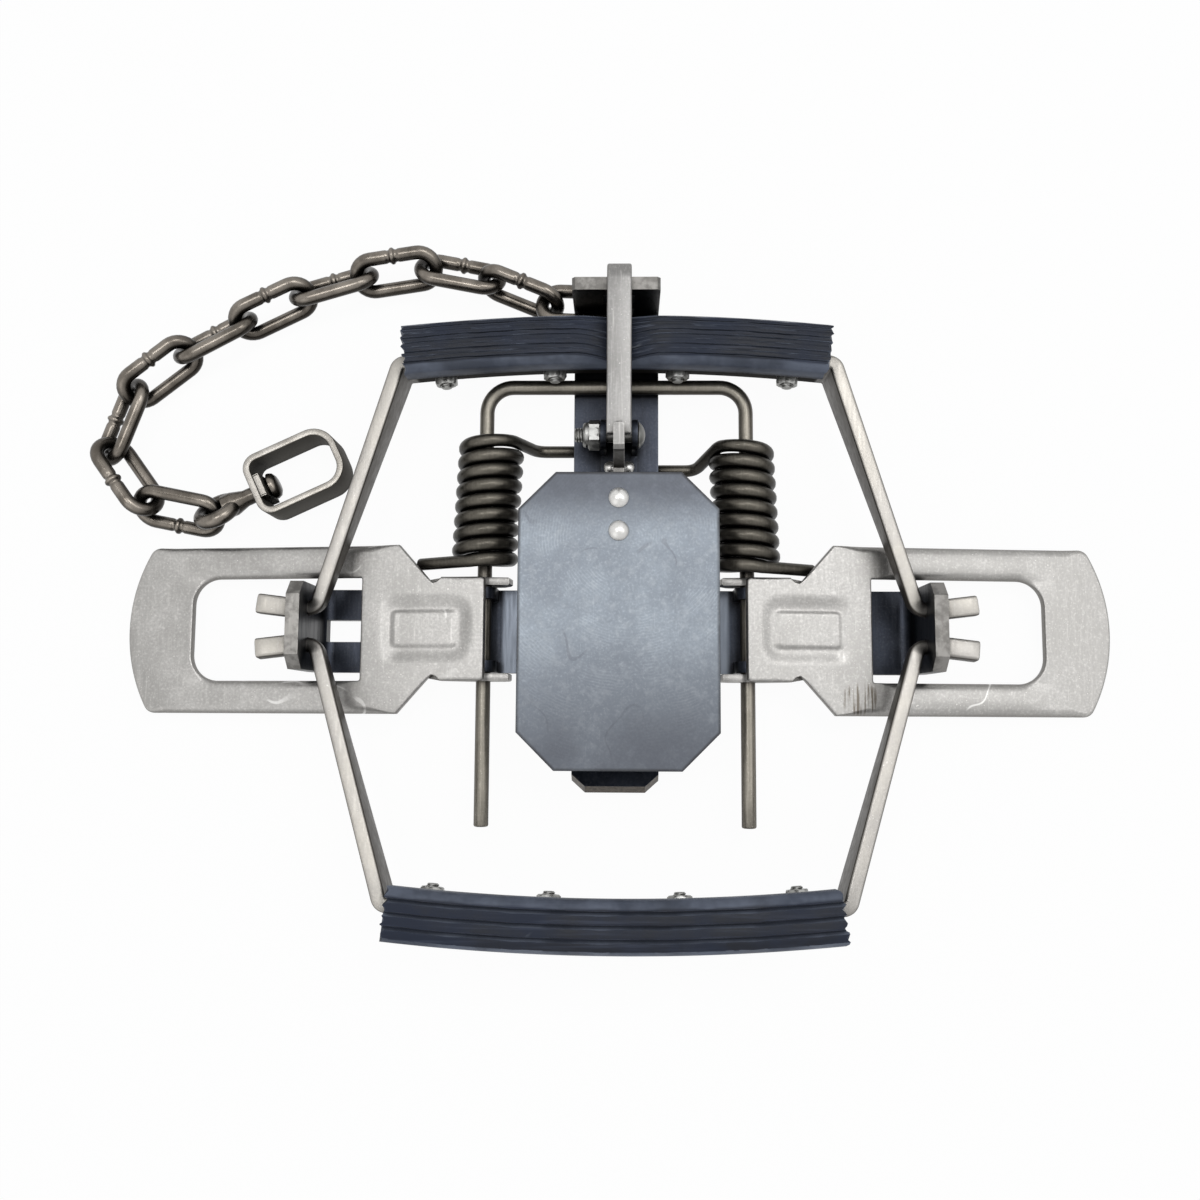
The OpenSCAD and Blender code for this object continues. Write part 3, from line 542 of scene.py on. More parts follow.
rodSteel = steelFinish("rodSteel", dict(
    steelLooks, base=(0.29, 0.268, 0.228), dark=(0.19, 0.175, 0.147), light=(0.55, 0.52, 0.46),
    shade=(0.035, 0.03, 0.024), rub=0.0, sideFrom=0.25, sideTo=0.98, sideShade=0.92, rough=(0.3, 0.44)))
chainLooks = dict(
    steelLooks, base=(0.26, 0.232, 0.2), dark=(0.11, 0.096, 0.08), light=(0.62, 0.59, 0.54),
    shade=(0.018, 0.015, 0.012), shadowTone=(0.01, 0.009, 0.008), cloud=130, rub=0.0, specks=0.12, brushed=0.06,
    scratched=0.1, sideFrom=0.35, sideTo=1.0, sideShade=0.95, rough=(0.23, 0.3), creviceShade=0.9, creviceShadeReach=5,
    grain=0.04, bump=0.002)
chainSteel = steelFinish("chainSteel", chainLooks)
strapSteel = steelFinish("strapSteel", dict(
    chainLooks, base=(0.4, 0.38, 0.35), dark=(0.26, 0.243, 0.218), shade=(0.06, 0.055, 0.047), sideFrom=0.6,
    sideTo=0.97, sideRough=0.75, rough=(0.28, 0.38)))
rivetSteel = steelFinish("rivetSteel", dict(
    steelLooks, base=(0.74, 0.735, 0.72), dark=(0.6, 0.59, 0.57), light=(0.85, 0.85, 0.84), rough=(0.26, 0.4),
    sideFrom=0.1, sideTo=0.75, sideShade=0.9, creviceShadeReach=3, grain=0.1))
zincPlate = steelFinish("zincPlate", dict(
    steelLooks, base=(0.5, 0.5, 0.485), dark=(0.36, 0.36, 0.345), light=(0.78, 0.78, 0.76),
    shade=(0.13, 0.13, 0.12), rough=(0.3, 0.44), sideShade=0.7, specks=0.2, creviceShadeReach=4))
rubberLooks = dict(
    base=(0.01, 0.015, 0.03), dust=(0.05, 0.06, 0.092), dark=(0.005, 0.007, 0.013), bandSheen=(0.15, 0.172, 0.222),
    flapFrom=20.6, flapTo=22.6, scuff=(0.2, 0.22, 0.25), shadowTone=(0.006, 0.007, 0.01), gloss=0.28)


def rubberFinish(name, look):
    finish, tree, shader = newFinish(name)
    cloud = grain(tree, 70, detail=5)
    streak = grain(tree, 1.0, (35, 900, 500), detail=4)
    fine = grain(tree, 700, detail=3)
    colour = tint(tree, spread(tree, cloud, 0.35, 0.65), look["dark"], look["base"])
    colour = tint(tree, spread(tree, streak, 0.5, 0.78, 0, 0.55), colour, look["dust"])
    colour = tint(tree, times(tree, rubbed(tree, 0.5), 0.25), colour, look["dust"])
    # painted sheen: the bevelled inner band is paler, in patches, as though it caught the light
    band = spread(tree, facing(tree), 0.8, 0.93, 1.0, 0.0)
    high = spread(tree, where(tree, "Z"), look["flapFrom"] * mm, look["flapTo"] * mm)
    sheenPatches = spread(tree, grain(tree, 60, detail=4), 0.35, 0.65, 0.35, 0.9)
    colour = tint(tree, times(tree, band, high, sheenPatches), colour, look["bandSheen"])
    scuff = times(tree, hairs(tree), spread(tree, grain(tree, 40, detail=2), 0.5, 0.6), 0.6)
    colour = tint(tree, scuff, colour, look["scuff"])
    # painted shade in the rubber's crevices and corners, from ambient occlusion
    colour = tint(tree, times(tree, corners(tree, 2.5), 0.75), colour, look["shadowTone"])
    tree.links.new(colour, shader.inputs["Base Color"])
    tree.links.new(spread(tree, cloud, 0.3, 0.7, 0.45, 0.65), shader.inputs["Roughness"])
    shader.inputs["Specular IOR Level"].default_value = look["gloss"]
    pressed(tree, shader, sums(tree, "ADD", times(tree, fine, 0.5), streak), 0.05)
    return finish


padRubber = rubberFinish("padRubber", rubberLooks)
print("finishes made")


# frame parts that keep the shape of their solids, with broken edges

trims = {"front": -31, "shorter": 2.2, "latchLow": 22, "noseR": 1.5, "latchWide": 0.9}


def shortFront(form):
    for v in form.verts:
        if v.co.y < trims["front"] * mm:
            v.co.y += trims["shorter"] * mm


def roundNose(form):
    # the latch ends in a half round nose
    high = [v for v in form.verts if v.co.z > trims["latchLow"] * mm]
    tip, radius = max(v.co.y for v in high), trims["noseR"] * mm
    middle = sum(v.co.x for v in high) / len(high)
    for turned in range(10, 90, 10):
        place = tip - radius * (1 - math.sin(math.radians(turned)))
        bmesh.ops.bisect_plane(form, geom=[*form.verts, *form.edges, *form.faces], dist=1e-7,
                               plane_co=(0, place, 0), plane_no=(0, 1, 0))
    for v in form.verts:
        if v.co.z > trims["latchLow"] * mm:
            reach = max(v.co.y - tip + radius, 0) / radius
            v.co.x = middle + (v.co.x - middle) * trims["latchWide"] * math.sqrt(max(1 - reach ** 2, 0.03))


plainParts = {"base_bar": (0.45, baseSteel), "cross_bar": (0.45, crossSteel),
              "pan_bracket": (0.25, bluedSteel), "frame_rivets": (0.3, bluedSteel)}
for node, (edge, finish) in plainParts.items():
    reshape = shortFront if node == "cross_bar" else None
    settle(dress(node + "_dressed", node, edge, reshape=reshape), "frame_body", finish, "dark_steel", node)
settle(dress("pan_plate", "pan", 0.45), "pan_body", panSteel, "dark_steel", "pan")
latch = dress("pan_latch", "pan_shank", 0.35, reshape=roundNose)
settle(latch, "pan_body", dogSteel, "dark_steel", "pan_shank")
print("frame and pan dressed")


# jaws: one bent strip each, drawn down to a round pin at both ends

jaw = {
    "pivotY": 4.63, "pivotZ": 18, "nearRise": 6, "thick": 3.6, "top": 2.6, "armLow": 2, "stripLow": 10.8,
    "reach": 63.2, "cornerX": 56, "bow": 3, "cornerBend": 2.3, "armX": 75.4, "pinR": 1.85, "pinEnd": 90.5,
    "earOut": 81, "splay": 7, "pinBend": 3.3, "edge": 0.75, "pinWide": 2.5, "pinHigh": 2.1,
    "pinEdge": 0.8, "tipRound": 0.5,
}
jawPlaces = {
    "far": shift(0, jaw["pivotY"], jaw["pivotZ"]),
    "near": shift(0, -jaw["pivotY"], jaw["pivotZ"]) @ turn("X", -jaw["nearRise"]) @ mirrorY,
}
bowRadius = (jaw["cornerX"] ** 2 + jaw["bow"] ** 2) / (2 * jaw["bow"])
bowY = jaw["reach"] + jaw["bow"] - bowRadius


def jawForm():
    half = jaw["thick"] / 2
    armTurn = math.degrees(math.atan2(jaw["reach"], jaw["cornerX"] - jaw["armX"]))
    armWay = np.array([math.cos(math.radians(armTurn)), math.sin(math.radians(armTurn))])
    bend = jaw["cornerBend"]
    side = np.array([jaw["armX"] - bend * armWay[1], bend * armWay[0] - bowY])
    back = side @ armWay
    armLength = math.sqrt(back ** 2 - side @ side + (bowRadius - bend) ** 2) - back
    bendMiddle = side + np.array([0, bowY]) + armWay * armLength
    bowHalf = math.degrees(math.atan2(bendMiddle[0], bendMiddle[1] - bowY))
    tangentRun = jaw["pinBend"] * math.tan(math.radians((180 - armTurn) / 2))
    pinBendX = jaw["armX"] + tangentRun
    splay = math.tan(math.radians(jaw["splay"]))

    def section(amount, low):
        # amount 0 is the round pin and 1 the flat strip
        mix = lambda a, b: a + (b - a) * amount
        pin = jaw["pinR"]
        return roundedSection(mix(pin, half), -mix(pin, low), mix(pin, jaw["top"]), mix(pin, jaw["edge"]))

    # pin ends outside the ears are hammered square
    ear = jaw["earOut"]
    squared = roundedSection(jaw["pinWide"], -jaw["pinHigh"], jaw["pinHigh"], jaw["pinEdge"])
    ends = [(x, (x - ear) * splay) for x in np.linspace(jaw["pinEnd"], ear + 0.8, 5)]
    stations = [(x, (x - ear) * splay, 0.0, jaw["pinR"]) for x in (ear + 0.3, ear)]
    for k, (x, y) in enumerate(arc((pinBendX, jaw["pinBend"]), jaw["pinBend"], 270, armTurn + 90, 8)):
        stations.append((x, y, float(smooth(0, 8, k)), jaw["armLow"]))
    for s in np.linspace(tangentRun, armLength, 15)[1:]:
        share = np.clip((s - half) / (armLength - 1 - half), 0, 1)
        low = jaw["armLow"] + (jaw["stripLow"] - jaw["armLow"]) * share
        stations.append((jaw["armX"] + armWay[0] * s, armWay[1] * s, 1.0, low))
    corner = arc(bendMiddle, bend, armTurn - 90, 90 - bowHalf, 8)[1:]
    bow = arc((0, bowY), bowRadius, 90 - bowHalf, 90, 12)[1:]
    stations += [(x, y, 1.0, jaw["stripLow"]) for x, y in (*corner, *bow)]
    stations += [(-x, y, amount, low) for x, y, amount, low in stations[-2::-1]]
    path = [*ends, *(station[:2] for station in stations), *((-x, y) for x, y in ends[::-1])]
    tips = [squared] * len(ends)
    sections = tips + [section(amount, low) for x, y, amount, low in stations] + tips
    return swept([(x, y, 0) for x, y in path], sections, up=(0, 0, 1), endRound=jaw["tipRound"])


jawShape = jawForm()
for side, place in jawPlaces.items():
    strip = piece(side + "_jaw_strip", moved(jawShape, place))
    settle(strip, side + "_jaw_body", jawSteel, "bare_steel", side + "_jaw")
print("jaws bent")


# rubber pads: ribbed strips over the jaws

pad = {
    "half": 53.3, "out": 7.8, "in": 4.9, "low": 8.6, "top": 9.59, "seat": 2.62, "wall": 1.82,
    "dentX": 0.8, "dentDeep": 2.2, "dentPull": 1.5, "dentWide": 6.5, "steps": 140, "ragged": 0.45,
    "flutes": 3, "fluteTop": 4.4, "fluteStep": 3.4, "fluteDeep": 0.5, "fall": 0.9, "fallFrom": 3.5,
    "far": {"from": -2.6, "to": 7.2, "deep": (0.5, 0.22, 0.42, 0.15, 0.35, 0.5, 0.2, 0.45), "dent": 1},
    "near": {"from": -2.2, "to": 7.2, "deep": (0.85, 0.85, 0.85), "dent": 0},
}
# one rib, as (across, down) shares of its width and depth
ribShape = ((-0.06, 0.1), (0.0, 0.85), (0.09, 1.0), (0.18, 0.7), (0.28, 0.15), (0.5, 0.0), (0.7, 0.12),
            (0.86, 0.0))


def padSection(ribs, dent, frayed):
    # inner face, bevelled inner band, ribs over the top, fluted outer wall
    top, inner, outer, low = pad["top"], -pad["in"], pad["out"], -pad["low"]
    points = [(inner, pad["seat"]), (inner, top - 2.4), (inner + 0.3, top - 1.7), (inner + 1.0, top - 1.0),
              (ribs["from"] - 0.5, top - 0.15)]
    step = (ribs["to"] - ribs["from"]) / len(ribs["deep"])
    for k, deep in enumerate(ribs["deep"]):
        for across, down in ribShape:
            u = ribs["from"] + (k + across) * step
            # the top falls off toward the outer wall
            drop = pad["fall"] * max(0.0, (u - pad["fallFrom"]) / (ribs["to"] - pad["fallFrom"])) ** 2
            points.append((u - frayed * (1 - down), top - drop - down * deep))
    points += [(outer - 0.35, top - 1.5), (outer, top - 2.3)]
    for k in range(pad["flutes"]):
        v = top - pad["fluteTop"] - pad["fluteStep"] * k
        points += [(outer, v + 0.3), (outer - pad["fluteDeep"], v), (outer, v - 0.6)]
    points += [(outer, low + 1), (outer - 0.4, low + 0.3), (outer - 1, low), (pad["wall"], low),
               (pad["wall"], pad["seat"])]
    section = np.array(points)
    # the dog presses the top down and draws it inward, while the wall outside the strip stays
    share = smooth(pad["seat"], top - 1.5, section[:, 1]) * dent
    section[:, 1] -= pad["dentDeep"] * share
    pull = smooth(outer, 2.0, section[:, 0]) * smooth(inner, inner + 2, section[:, 0])
    section[:, 0] -= pad["dentPull"] * share * pull
    return section


def padForm(ribs):
    half = math.degrees(math.asin(pad["half"] / bowRadius))
    rings = []
    for a in np.linspace(-half, half, pad["steps"] + 1):
        x = bowRadius * math.sin(math.radians(a))
        dent = ribs["dent"] * math.exp(-((x - pad["dentX"]) / pad["dentWide"]) ** 2)
        waver = 0.1 * math.sin(x * 0.35) + 0.06 * math.sin(x * 0.9 + 1)
        section = padSection(ribs, dent, waver)
        # the cut ends are uneven from rib to rib
        ragged = pad["ragged"] * np.sin(section[:, 0] * 2.9) + 0.2 * np.sin(section[:, 1] * 5)
        lean = np.radians(a) + ragged / bowRadius * smooth(0.9, 1.0, abs(a) / half)
        radius = bowRadius + section[:, 0]
        rings.append(np.column_stack([radius * np.sin(lean), bowY + radius * np.cos(lean), section[:, 1]]))
    return skinned(rings)


for side, place in jawPlaces.items():
    rubber = piece(side + "_pad_rubber", moved(padForm(pad[side]), place))
    settle(rubber, side + "_jaw_body", padRubber, "pad_rubber", side + "_pad")
print("pads moulded")


# pad fasteners: cheese heads outside, hexagon nuts and thread ends inside

fastener = {
    "places": (-44.8, -16.1, 16.1, 44.8), "drop": 4, "boltR": 1.6, "seat": 5.42, "nutFlats": 5.4, "nutH": 3.3,
    "nutGap": 0.1, "tip": 0.9, "nutTurn": 17,
    "head": ((2.7, 0), (3, 0.3), (3, 1.1), (2.5, 1.65), (1.2, 1.8), (0.4, 1.8)),
}


def fastenerPlaces():
    for x in fastener["places"]:
        spin = turn("Z", -math.degrees(math.asin(x / bowRadius)))
        yield shift(0, bowY, -fastener["drop"]) @ spin @ shift(0, bowRadius, 0) @ turn("X", -90)


boltR, stripHalf = fastener["boltR"], jaw["thick"] / 2
nutLow = -stripHalf - fastener["nutGap"] - fastener["nutH"]
threadLong = fastener["tip"] - nutLow - stripHalf
boltShape = merged(
    turnedForm([(boltR, -stripHalf), (boltR, fastener["seat"] + 0.1)], 20),
    moved(threaded(boltR, 0, threadLong), shift(0, 0, -stripHalf) @ turn("X", 180)),
    moved(turnedForm(fastener["head"]), shift(0, 0, fastener["seat"])))
nutShape = moved(hexForm(fastener["nutFlats"], fastener["nutH"], boltR + 0.02), shift(0, 0, nutLow))
for side, place in jawPlaces.items():
    spots = [place @ spot for spot in fastenerPlaces()]
    bolts = merged(*[moved(boltShape, spot) for spot in spots])
    turned = [spot @ turn("Z", fastener["nutTurn"] * k) for k, spot in enumerate(spots)]
    nuts = merged(*[moved(nutShape, spot) for spot in turned])
    for kind, shape, sharp in (("bolt", bolts, 30), ("nut", nuts, 25)):
        made = piece("%s_%s_set" % (side, kind), shape, sharp)
        settle(made, side + "_jaw_body", zincPlate, "zinc_plate", "%s_pad_%ss" % (side, kind))
print("pad fasteners set")


# levers: pressed sheet with a window, rolled outer edges, a raised panel and two bent down sides

lever = {
    "rodX": 34.2, "rodZ": 9, "slope": 6, "low": 3.75, "thick": 2, "length": 95, "halfWidth": 21.9,
    "roll": 2.0, "windowHalf": 13.4, "windowNear": 31.3, "windowFar": 77.3, "windowBend": 6.8, "lip": 2.1,
    "plainLip": 0.4, "crown": 0.55, "rim": 3.2, "neckHalf": 13.4, "neckEnd": -1.2, "neckOut": 10.6,
    "notch": 12.4, "shoulder": 21.6, "endRadius": 42, "cornerR": 3, "panelNear": 6.4, "panelFar": 23,
    "panelHalf": 4.5, "panelR": 1, "panelH": 0.5, "dish": 0.8, "sideIn": 11.4, "rodHole": 2.0,
}


def alongLine(corners, count):
    # evenly spaced points on a line through corner points
    corners = np.asarray(corners, float)
    steps = np.linalg.norm(np.diff(corners, axis=0), axis=1)
    reach = np.concatenate([[0], np.cumsum(steps)])
    places = np.linspace(0, reach[-1], count)
    return np.column_stack([np.interp(places, reach, corners[:, k]) for k in range(2)])


def leverLoops():
    # matching outer, middle and window lines with the roll of the outer edge, round from the end of the neck
    wide, neck, notch, shoulder, neckOut, neckEnd, rim = [
        lever[key] for key in ("halfWidth", "neckHalf", "notch", "shoulder", "neckOut", "neckEnd", "rim")]
    near, far, window, bend, radius, cut = [
        lever[key] for key in ("windowNear", "windowFar", "windowHalf", "windowBend", "endRadius", "cornerR")]
    endMiddle = lever["length"] - radius
    cornerX = endMiddle + math.sqrt((radius - cut) ** 2 - (wide - cut) ** 2)
    cornerTurn = math.degrees(math.atan2(wide - cut, cornerX - endMiddle))
    outerEnd = np.vstack([arc((cornerX, wide - cut), cut, 90, cornerTurn, 10),
                          arc((endMiddle, 0), radius, cornerTurn, 0, 16)[1:]])
    rimTurn = math.degrees(math.asin((wide - rim) / (radius - rim)))
    rimEnd = arc((endMiddle, 0), radius - rim, rimTurn, 0, 20)
    windowEnd = np.vstack([arc((far - bend, window - bend), bend, 90, 0, 12), [(far, 0)]])
    # the chamfer from the notch to the shoulder, moved in by the rim
    lead = np.array([notch + 1.2, neck - 0.5])
    slope = unit(np.array([shoulder, wide]) - lead)
    chamfer = lead + rim * np.array([slope[1], -slope[0]])
    rimShoulder = chamfer + slope * (wide - rim - chamfer[1]) / slope[1]
    low, rimNear, collar = neck - rim, neckEnd + 2.6, neckOut - 0.4
    # outer line, middle line, window line, number of points, roll
    stretches = (
        ([(neckEnd, 0), (neckEnd, neck - 0.6)],
         [(rimNear, 0), (rimNear, low)], [(near, 0), (near, 8)], 26, 0.5),
        ([(neckEnd, neck - 0.6), (neckEnd + 0.6, neck), (collar, neck)],
         [(rimNear, low), (collar, low)], [(near, 8), (near, 9.5)], 16, 0.9),
        ([(collar, neck), (neckOut + 0.5, neck - 1.1), (notch, neck - 1.6), lead],
         [(collar, low), (notch + 1, low)], [(near, 9.5), (near, 10.6)], 16, 0.4),
        ([lead, (shoulder, wide)], [(notch + 1, low), chamfer, rimShoulder],
         [(near, 10.6), (near, window - 0.5), (near + 0.15, window - 0.15), (near + 0.5, window)], 24, 0.6),
        ([(shoulder, wide), (cornerX, wide)], [rimShoulder, rimEnd[0]],
         [(near + 0.5, window), (far - bend, window)], 56, 0.6),
        (outerEnd, rimEnd, windowEnd, 50, 0.6))
    loops, roll = ([], [], []), []
    for *lines, count, size in stretches:
        for loop, line in zip(loops, lines):
            loop.append(alongLine(line, count)[:-1])
        roll += [size] * (count - 1)
    ends = ((lever["length"], 0), (lever["length"] - rim, 0), (far, 0))
    half = [np.vstack(loop + [[end]]) for loop, end in zip(loops, ends)]
    outer, middle, inner = [np.vstack([loop, loop[-2:0:-1] * [1, -1]]) for loop in half]
    roll = np.array(roll + [0.6])
    roll = np.concatenate([roll, roll[-2:0:-1]])
    # changes of the roll are spread over a few points
    roll = sum(np.roll(roll, k) for k in range(-4, 5)) / 9
    return outer, middle, inner, roll


def panelHeight(x, y):
    # raised panel with a soft hollow round three of its sides
    near, far, corner = lever["panelNear"], lever["panelFar"], lever["panelR"]
    dx = np.abs(x - (near + far) / 2) - (far - near) / 2 + corner
    dy = np.abs(y) - lever["panelHalf"] + corner
    away = np.hypot(np.maximum(dx, 0), np.maximum(dy, 0)) + np.minimum(np.maximum(dx, dy), 0) - corner
    raised = lever["panelH"] * (1 - smooth(-0.5, 0.5, away))
    hollow = lever["dish"] * (1 - smooth(0.6, 4.8, away)) * (1 - smooth(21, 27.5, x))
    return raised - hollow


def railSink(plan):
    # the rails beside the window are arched across
    near, window, wide = lever["windowNear"], lever["windowHalf"], lever["halfWidth"]
    x, y = plan[:, 0], np.abs(plan[:, 1])
    across = np.clip((y - window) / (wide - window), 0, 1)
    share = within(near - 1, near + 9, 72, 80, x) * smooth(window - 4, window, y)
    return lever["crown"] * share * (2 * across - 1) ** 2


def leverForm():
    outer, middle, window, roll = leverLoops()
    x, shoulder, near, thick = outer[:, 0], lever["shoulder"], lever["windowNear"], lever["thick"]
    under = np.full(len(outer), -thick)
    rail = within(shoulder + 0.5, shoulder + 8, 83, 90, x) * smooth(17, 20, np.abs(outer[:, 1]))
    roll = roll * (1 - rail) + lever["roll"] * rail
    reach = 90 + 85 * rail
    outerBase = outer + (middle - outer) * (roll / lever["rim"])[:, None]
    inside = within(near + 1, near + 8, 70, 77, window[:, 0])
    lip = lever["plainLip"] + (lever["lip"] - lever["plainLip"]) * inside
    way = tangents(window, True)
    windowBase = window + np.column_stack([-way[:, 1], way[:, 0]]) * lip[:, None]  # moved out by the lip
    rows = [(window, under + 0.12)]
    for a in (72, 60, 45, 30, 15):
        s, c = math.sin(math.radians(a)), math.cos(math.radians(a))
        rows.append((windowBase + (window - windowBase) * s, -lip * (1 - c) - railSink(windowBase)))
    spans = ((windowBase, middle, np.linspace(0, 1, 44)), (middle, outerBase, (0.25, 0.5, 0.75, 0.92, 1.0)))
    for first, last, steps in spans:
        for t in steps:
            plan = first + (last - first) * t
            rows.append((plan, panelHeight(plan[:, 0], plan[:, 1]) - railSink(plan)))
    way = (outer - outerBase) / roll[:, None]
    for k in range(1, 9):
        a = np.radians(reach * k / 8)
        plan = outerBase + way * (roll * np.sin(a))[:, None]
        rows.append((plan, -roll * (1 - np.cos(a)) - railSink(outerBase)))
    plainFoot = outer - (outer - outerBase) * 0.02
    beadFoot = outerBase + (windowBase - outerBase) * 0.12
    foot = plainFoot * (1 - rail)[:, None] + beadFoot * rail[:, None]
    rows += [(foot + (window - foot) * t, under) for t in np.linspace(0, 1, 8)[:-1]]
    rows.append((windowBase + (window - windowBase) * 0.9, under))
    return skinned([np.column_stack([plan, z + lever["low"] + thick]) for plan, z in rows], True)


def sideForm(side):
    # bent down side of the neck, pierced for the rod
    top = lever["low"] + lever["thick"]
    edge = np.array([(-7.2, -1.6), (-5, -4), (3.6, -4), (10.6, lever["low"] - 1.5), (10.6, top - 1.1),
                     (-0.6, top - 1.1), (-2.2, lever["low"] - 0.2), (-7.2, 2.6)])
    loop = alongLine(np.vstack([edge, edge[:1]]), 97)[:-1]
    angle = np.arctan2(loop[:, 1], loop[:, 0])
    hole = np.column_stack([np.cos(angle), np.sin(angle)]) * lever["rodHole"]
    middle = loop.mean(0)
    drawn = middle + (loop - middle) * 0.955
    first, last, edge = lever["sideIn"] + 0.02, lever["sideIn"] + lever["thick"] - 0.02, 0.3
    rows = ((hole, first), (drawn, first), (loop, first + edge),
            (loop, last - edge), (drawn, last), (hole, last))
    rings = [np.column_stack([plan[:, 0], np.full(len(plan), side * y), plan[:, 1]]) for plan, y in rows]
    return skinned(rings, True)


leverShape = merged(leverForm(), sideForm(1), sideForm(-1))
rightPlace = shift(lever["rodX"], 0, lever["rodZ"]) @ turn("Y", lever["slope"])
for side, place, finish in (("right", rightPlace, filedSteel), ("left", mirrorX @ rightPlace, leverSteel)):
    sheet = piece("lever_%s_sheet" % side, moved(leverShape, place), 50)
    settle(sheet, "lever_%s_body" % side, finish, "bare_steel", "lever_" + side)
print("levers pressed")


# pivot rod

rod = {"x": 34.2, "z": 9, "r": 1.9, "near": -50.4, "far": 64.63, "bend": 7}
run = rod["far"] - rod["bend"]
half = [(rod["x"], y) for y in np.linspace(rod["near"], run, 12)]
half += [tuple(p) for p in arc((rod["x"] - rod["bend"], run), rod["bend"], 0, 90, 12)[1:]]
line = [(x, y, rod["z"]) for x, y in half] + [(-x, y, rod["z"]) for x, y in half[::-1]]
bar = piece("rod_bar", tube(line, rod["r"], 20, endRound=0.45))
settle(bar, "frame_body", rodSteel, "oiled_steel", "pivot_rod")


# springs: smooth coils with one leg under the lever and one under the cross bar

spring = {
    "wire": 1.6, "fat": 0.28, "coil": 6.8, "pitch": 3.88, "lean": 0.05, "turns": 8, "from": 15.9,
    "startTurn": -28, "endTurn": 62, "outLeg": 16, "legLow": 1.65, "leftLeg": 0.6, "rightLeg": -3.2,
    "leftShift": 1.4, "still": 46, "lifted": 17,
}


def coilPoint(degrees):
    a = math.radians(degrees)
    rise = spring["pitch"] * (degrees - spring["startTurn"]) / 360
    lean = spring["lean"] * max(0.0, rise - spring["pitch"])
    x, z = spring["coil"] * math.sin(a) + lean, spring["coil"] * math.cos(a)
    return np.array([x, spring["from"] + rise, z])


def rounded(path, radius, steps=6):
    # replaces the corners of an open line by short arcs
    path = [np.asarray(p, float) for p in path]
    out = [path[0]]
    for before, corner, after in zip(path, path[1:], path[2:]):
        a, b = before - corner, after - corner
        cut = min(radius, 0.45 * np.linalg.norm(a), 0.45 * np.linalg.norm(b))
        start, end = corner + unit(a) * cut, corner + unit(b) * cut
        for k in range(steps + 1):
            t = k / steps
            out.append((1 - t) ** 2 * start + 2 * t * (1 - t) * corner + t * t * end)
    return out + [path[-1]]


def springForm(legShift):
    first, lastTurn = spring["startTurn"], 360 * spring["turns"] + spring["endTurn"]
    begin, finish = coilPoint(first), coilPoint(lastTurn)
    a, b = math.radians(first), math.radians(lastTurn)
    outward = np.array([-math.cos(a), 0, math.sin(a)])
    downward = np.array([math.cos(b), 0, -math.sin(b)])
    legY = spring["from"] + spring["pitch"] * spring["turns"] + legShift
    kneeZ = spring["legLow"] - rod["z"]
    drop = (finish[2] - kneeZ) / math.sin(b)
    knee = np.array([finish[0] + downward[0] * drop, legY, kneeZ])
    coil = [coilPoint(d) for d in np.arange(first, lastTurn - 24, 12)]
    legs = rounded([coilPoint(lastTurn - 24), finish, knee, (rod["x"] - 1, legY, kneeZ)], 2.6)
    path = [begin + outward * d for d in np.linspace(spring["outLeg"], 1.2, 6)] + coil + legs
    wound = [smooth(0, 8, k - 4) * smooth(0, 8, len(coil) + 6 - k) for k in range(len(path))]
    return tube(path, spring["wire"] + spring["fat"] * np.array(wound), 16, endRound=0.3)


springParts = (("left", spring["leftLeg"], shift(-rod["x"], spring["leftShift"], rod["z"])),
               ("right", spring["rightLeg"], mirrorX @ shift(-rod["x"], 0, rod["z"])))
for side, leg, place in springParts:
    coil = piece("spring_%s_coil" % side, moved(springForm(leg), place))
    settle(coil, None, springSteel, "oiled_steel", "spring_" + side)
    x, z = (-rod["x"] if side == "left" else rod["x"]) * mm, rod["z"] * mm
    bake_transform(coil)
print("rod and springs wound")


# trigger: bolt, lock nut, rivets and dog

trigger = {
    "x": 0.8, "boltY": 50.3, "boltZ": 14.6, "boltR": 1.95, "half": 4.8, "tail": 6.8, "headR": 3.5,
    "headH": 1.7, "flats": 7, "nutH": 3.2, "panTop": 24.8, "rivets": (31.9, 23.6), "rivetR": 2.5,
    "rivetH": 1.2, "rivetBody": 1.5, "tieX": 2.3, "tieY": 43.2, "tieZ": 8.2, "tieLow": 3.4, "tieBody": 0.9,
    "tieR": 1.7, "tieH": 0.75,
    "collar": ((3.3, 0), (3.3, 0.7), (3.0, 1.2), (2.7, 1.4), (2.0, 1.4), (2.0, 0)),
}
boltR, half, panTop = trigger["boltR"], trigger["half"], trigger["panTop"]
boltPlace = shift(trigger["x"], trigger["boltY"], trigger["boltZ"]) @ turn("Y", 90)
tailPlace = turn("X", 180) @ shift(0, 0, half)
bolt = merged(
    turnedForm([(boltR, -half), (boltR, half + 0.1)], 24),
    moved(turnedForm(domed(trigger["headR"], trigger["headH"], 0.3, 8)), shift(0, 0, half)),
    moved(threaded(boltR, 0, trigger["tail"]), tailPlace))
bolt = piece("pan_bolt_turned", moved(bolt, boltPlace), 30)
settle(bolt, "frame_body", zincPlate, "zinc_plate", "pan_bolt")
collarBase = trigger["nutH"] - 0.05
nut = merged(
    hexForm(trigger["flats"], trigger["nutH"], boltR + 0.02),
    skinned([ringAt(r, collarBase + z, 32) for r, z in trigger["collar"]], True))
nut = piece("pan_nut_turned", moved(nut, boltPlace @ tailPlace), 28)
settle(nut, "frame_body", zincPlate, "zinc_plate", "pan_nut")
low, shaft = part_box("pan_rivets")[0].z / mm, trigger["rivetBody"]
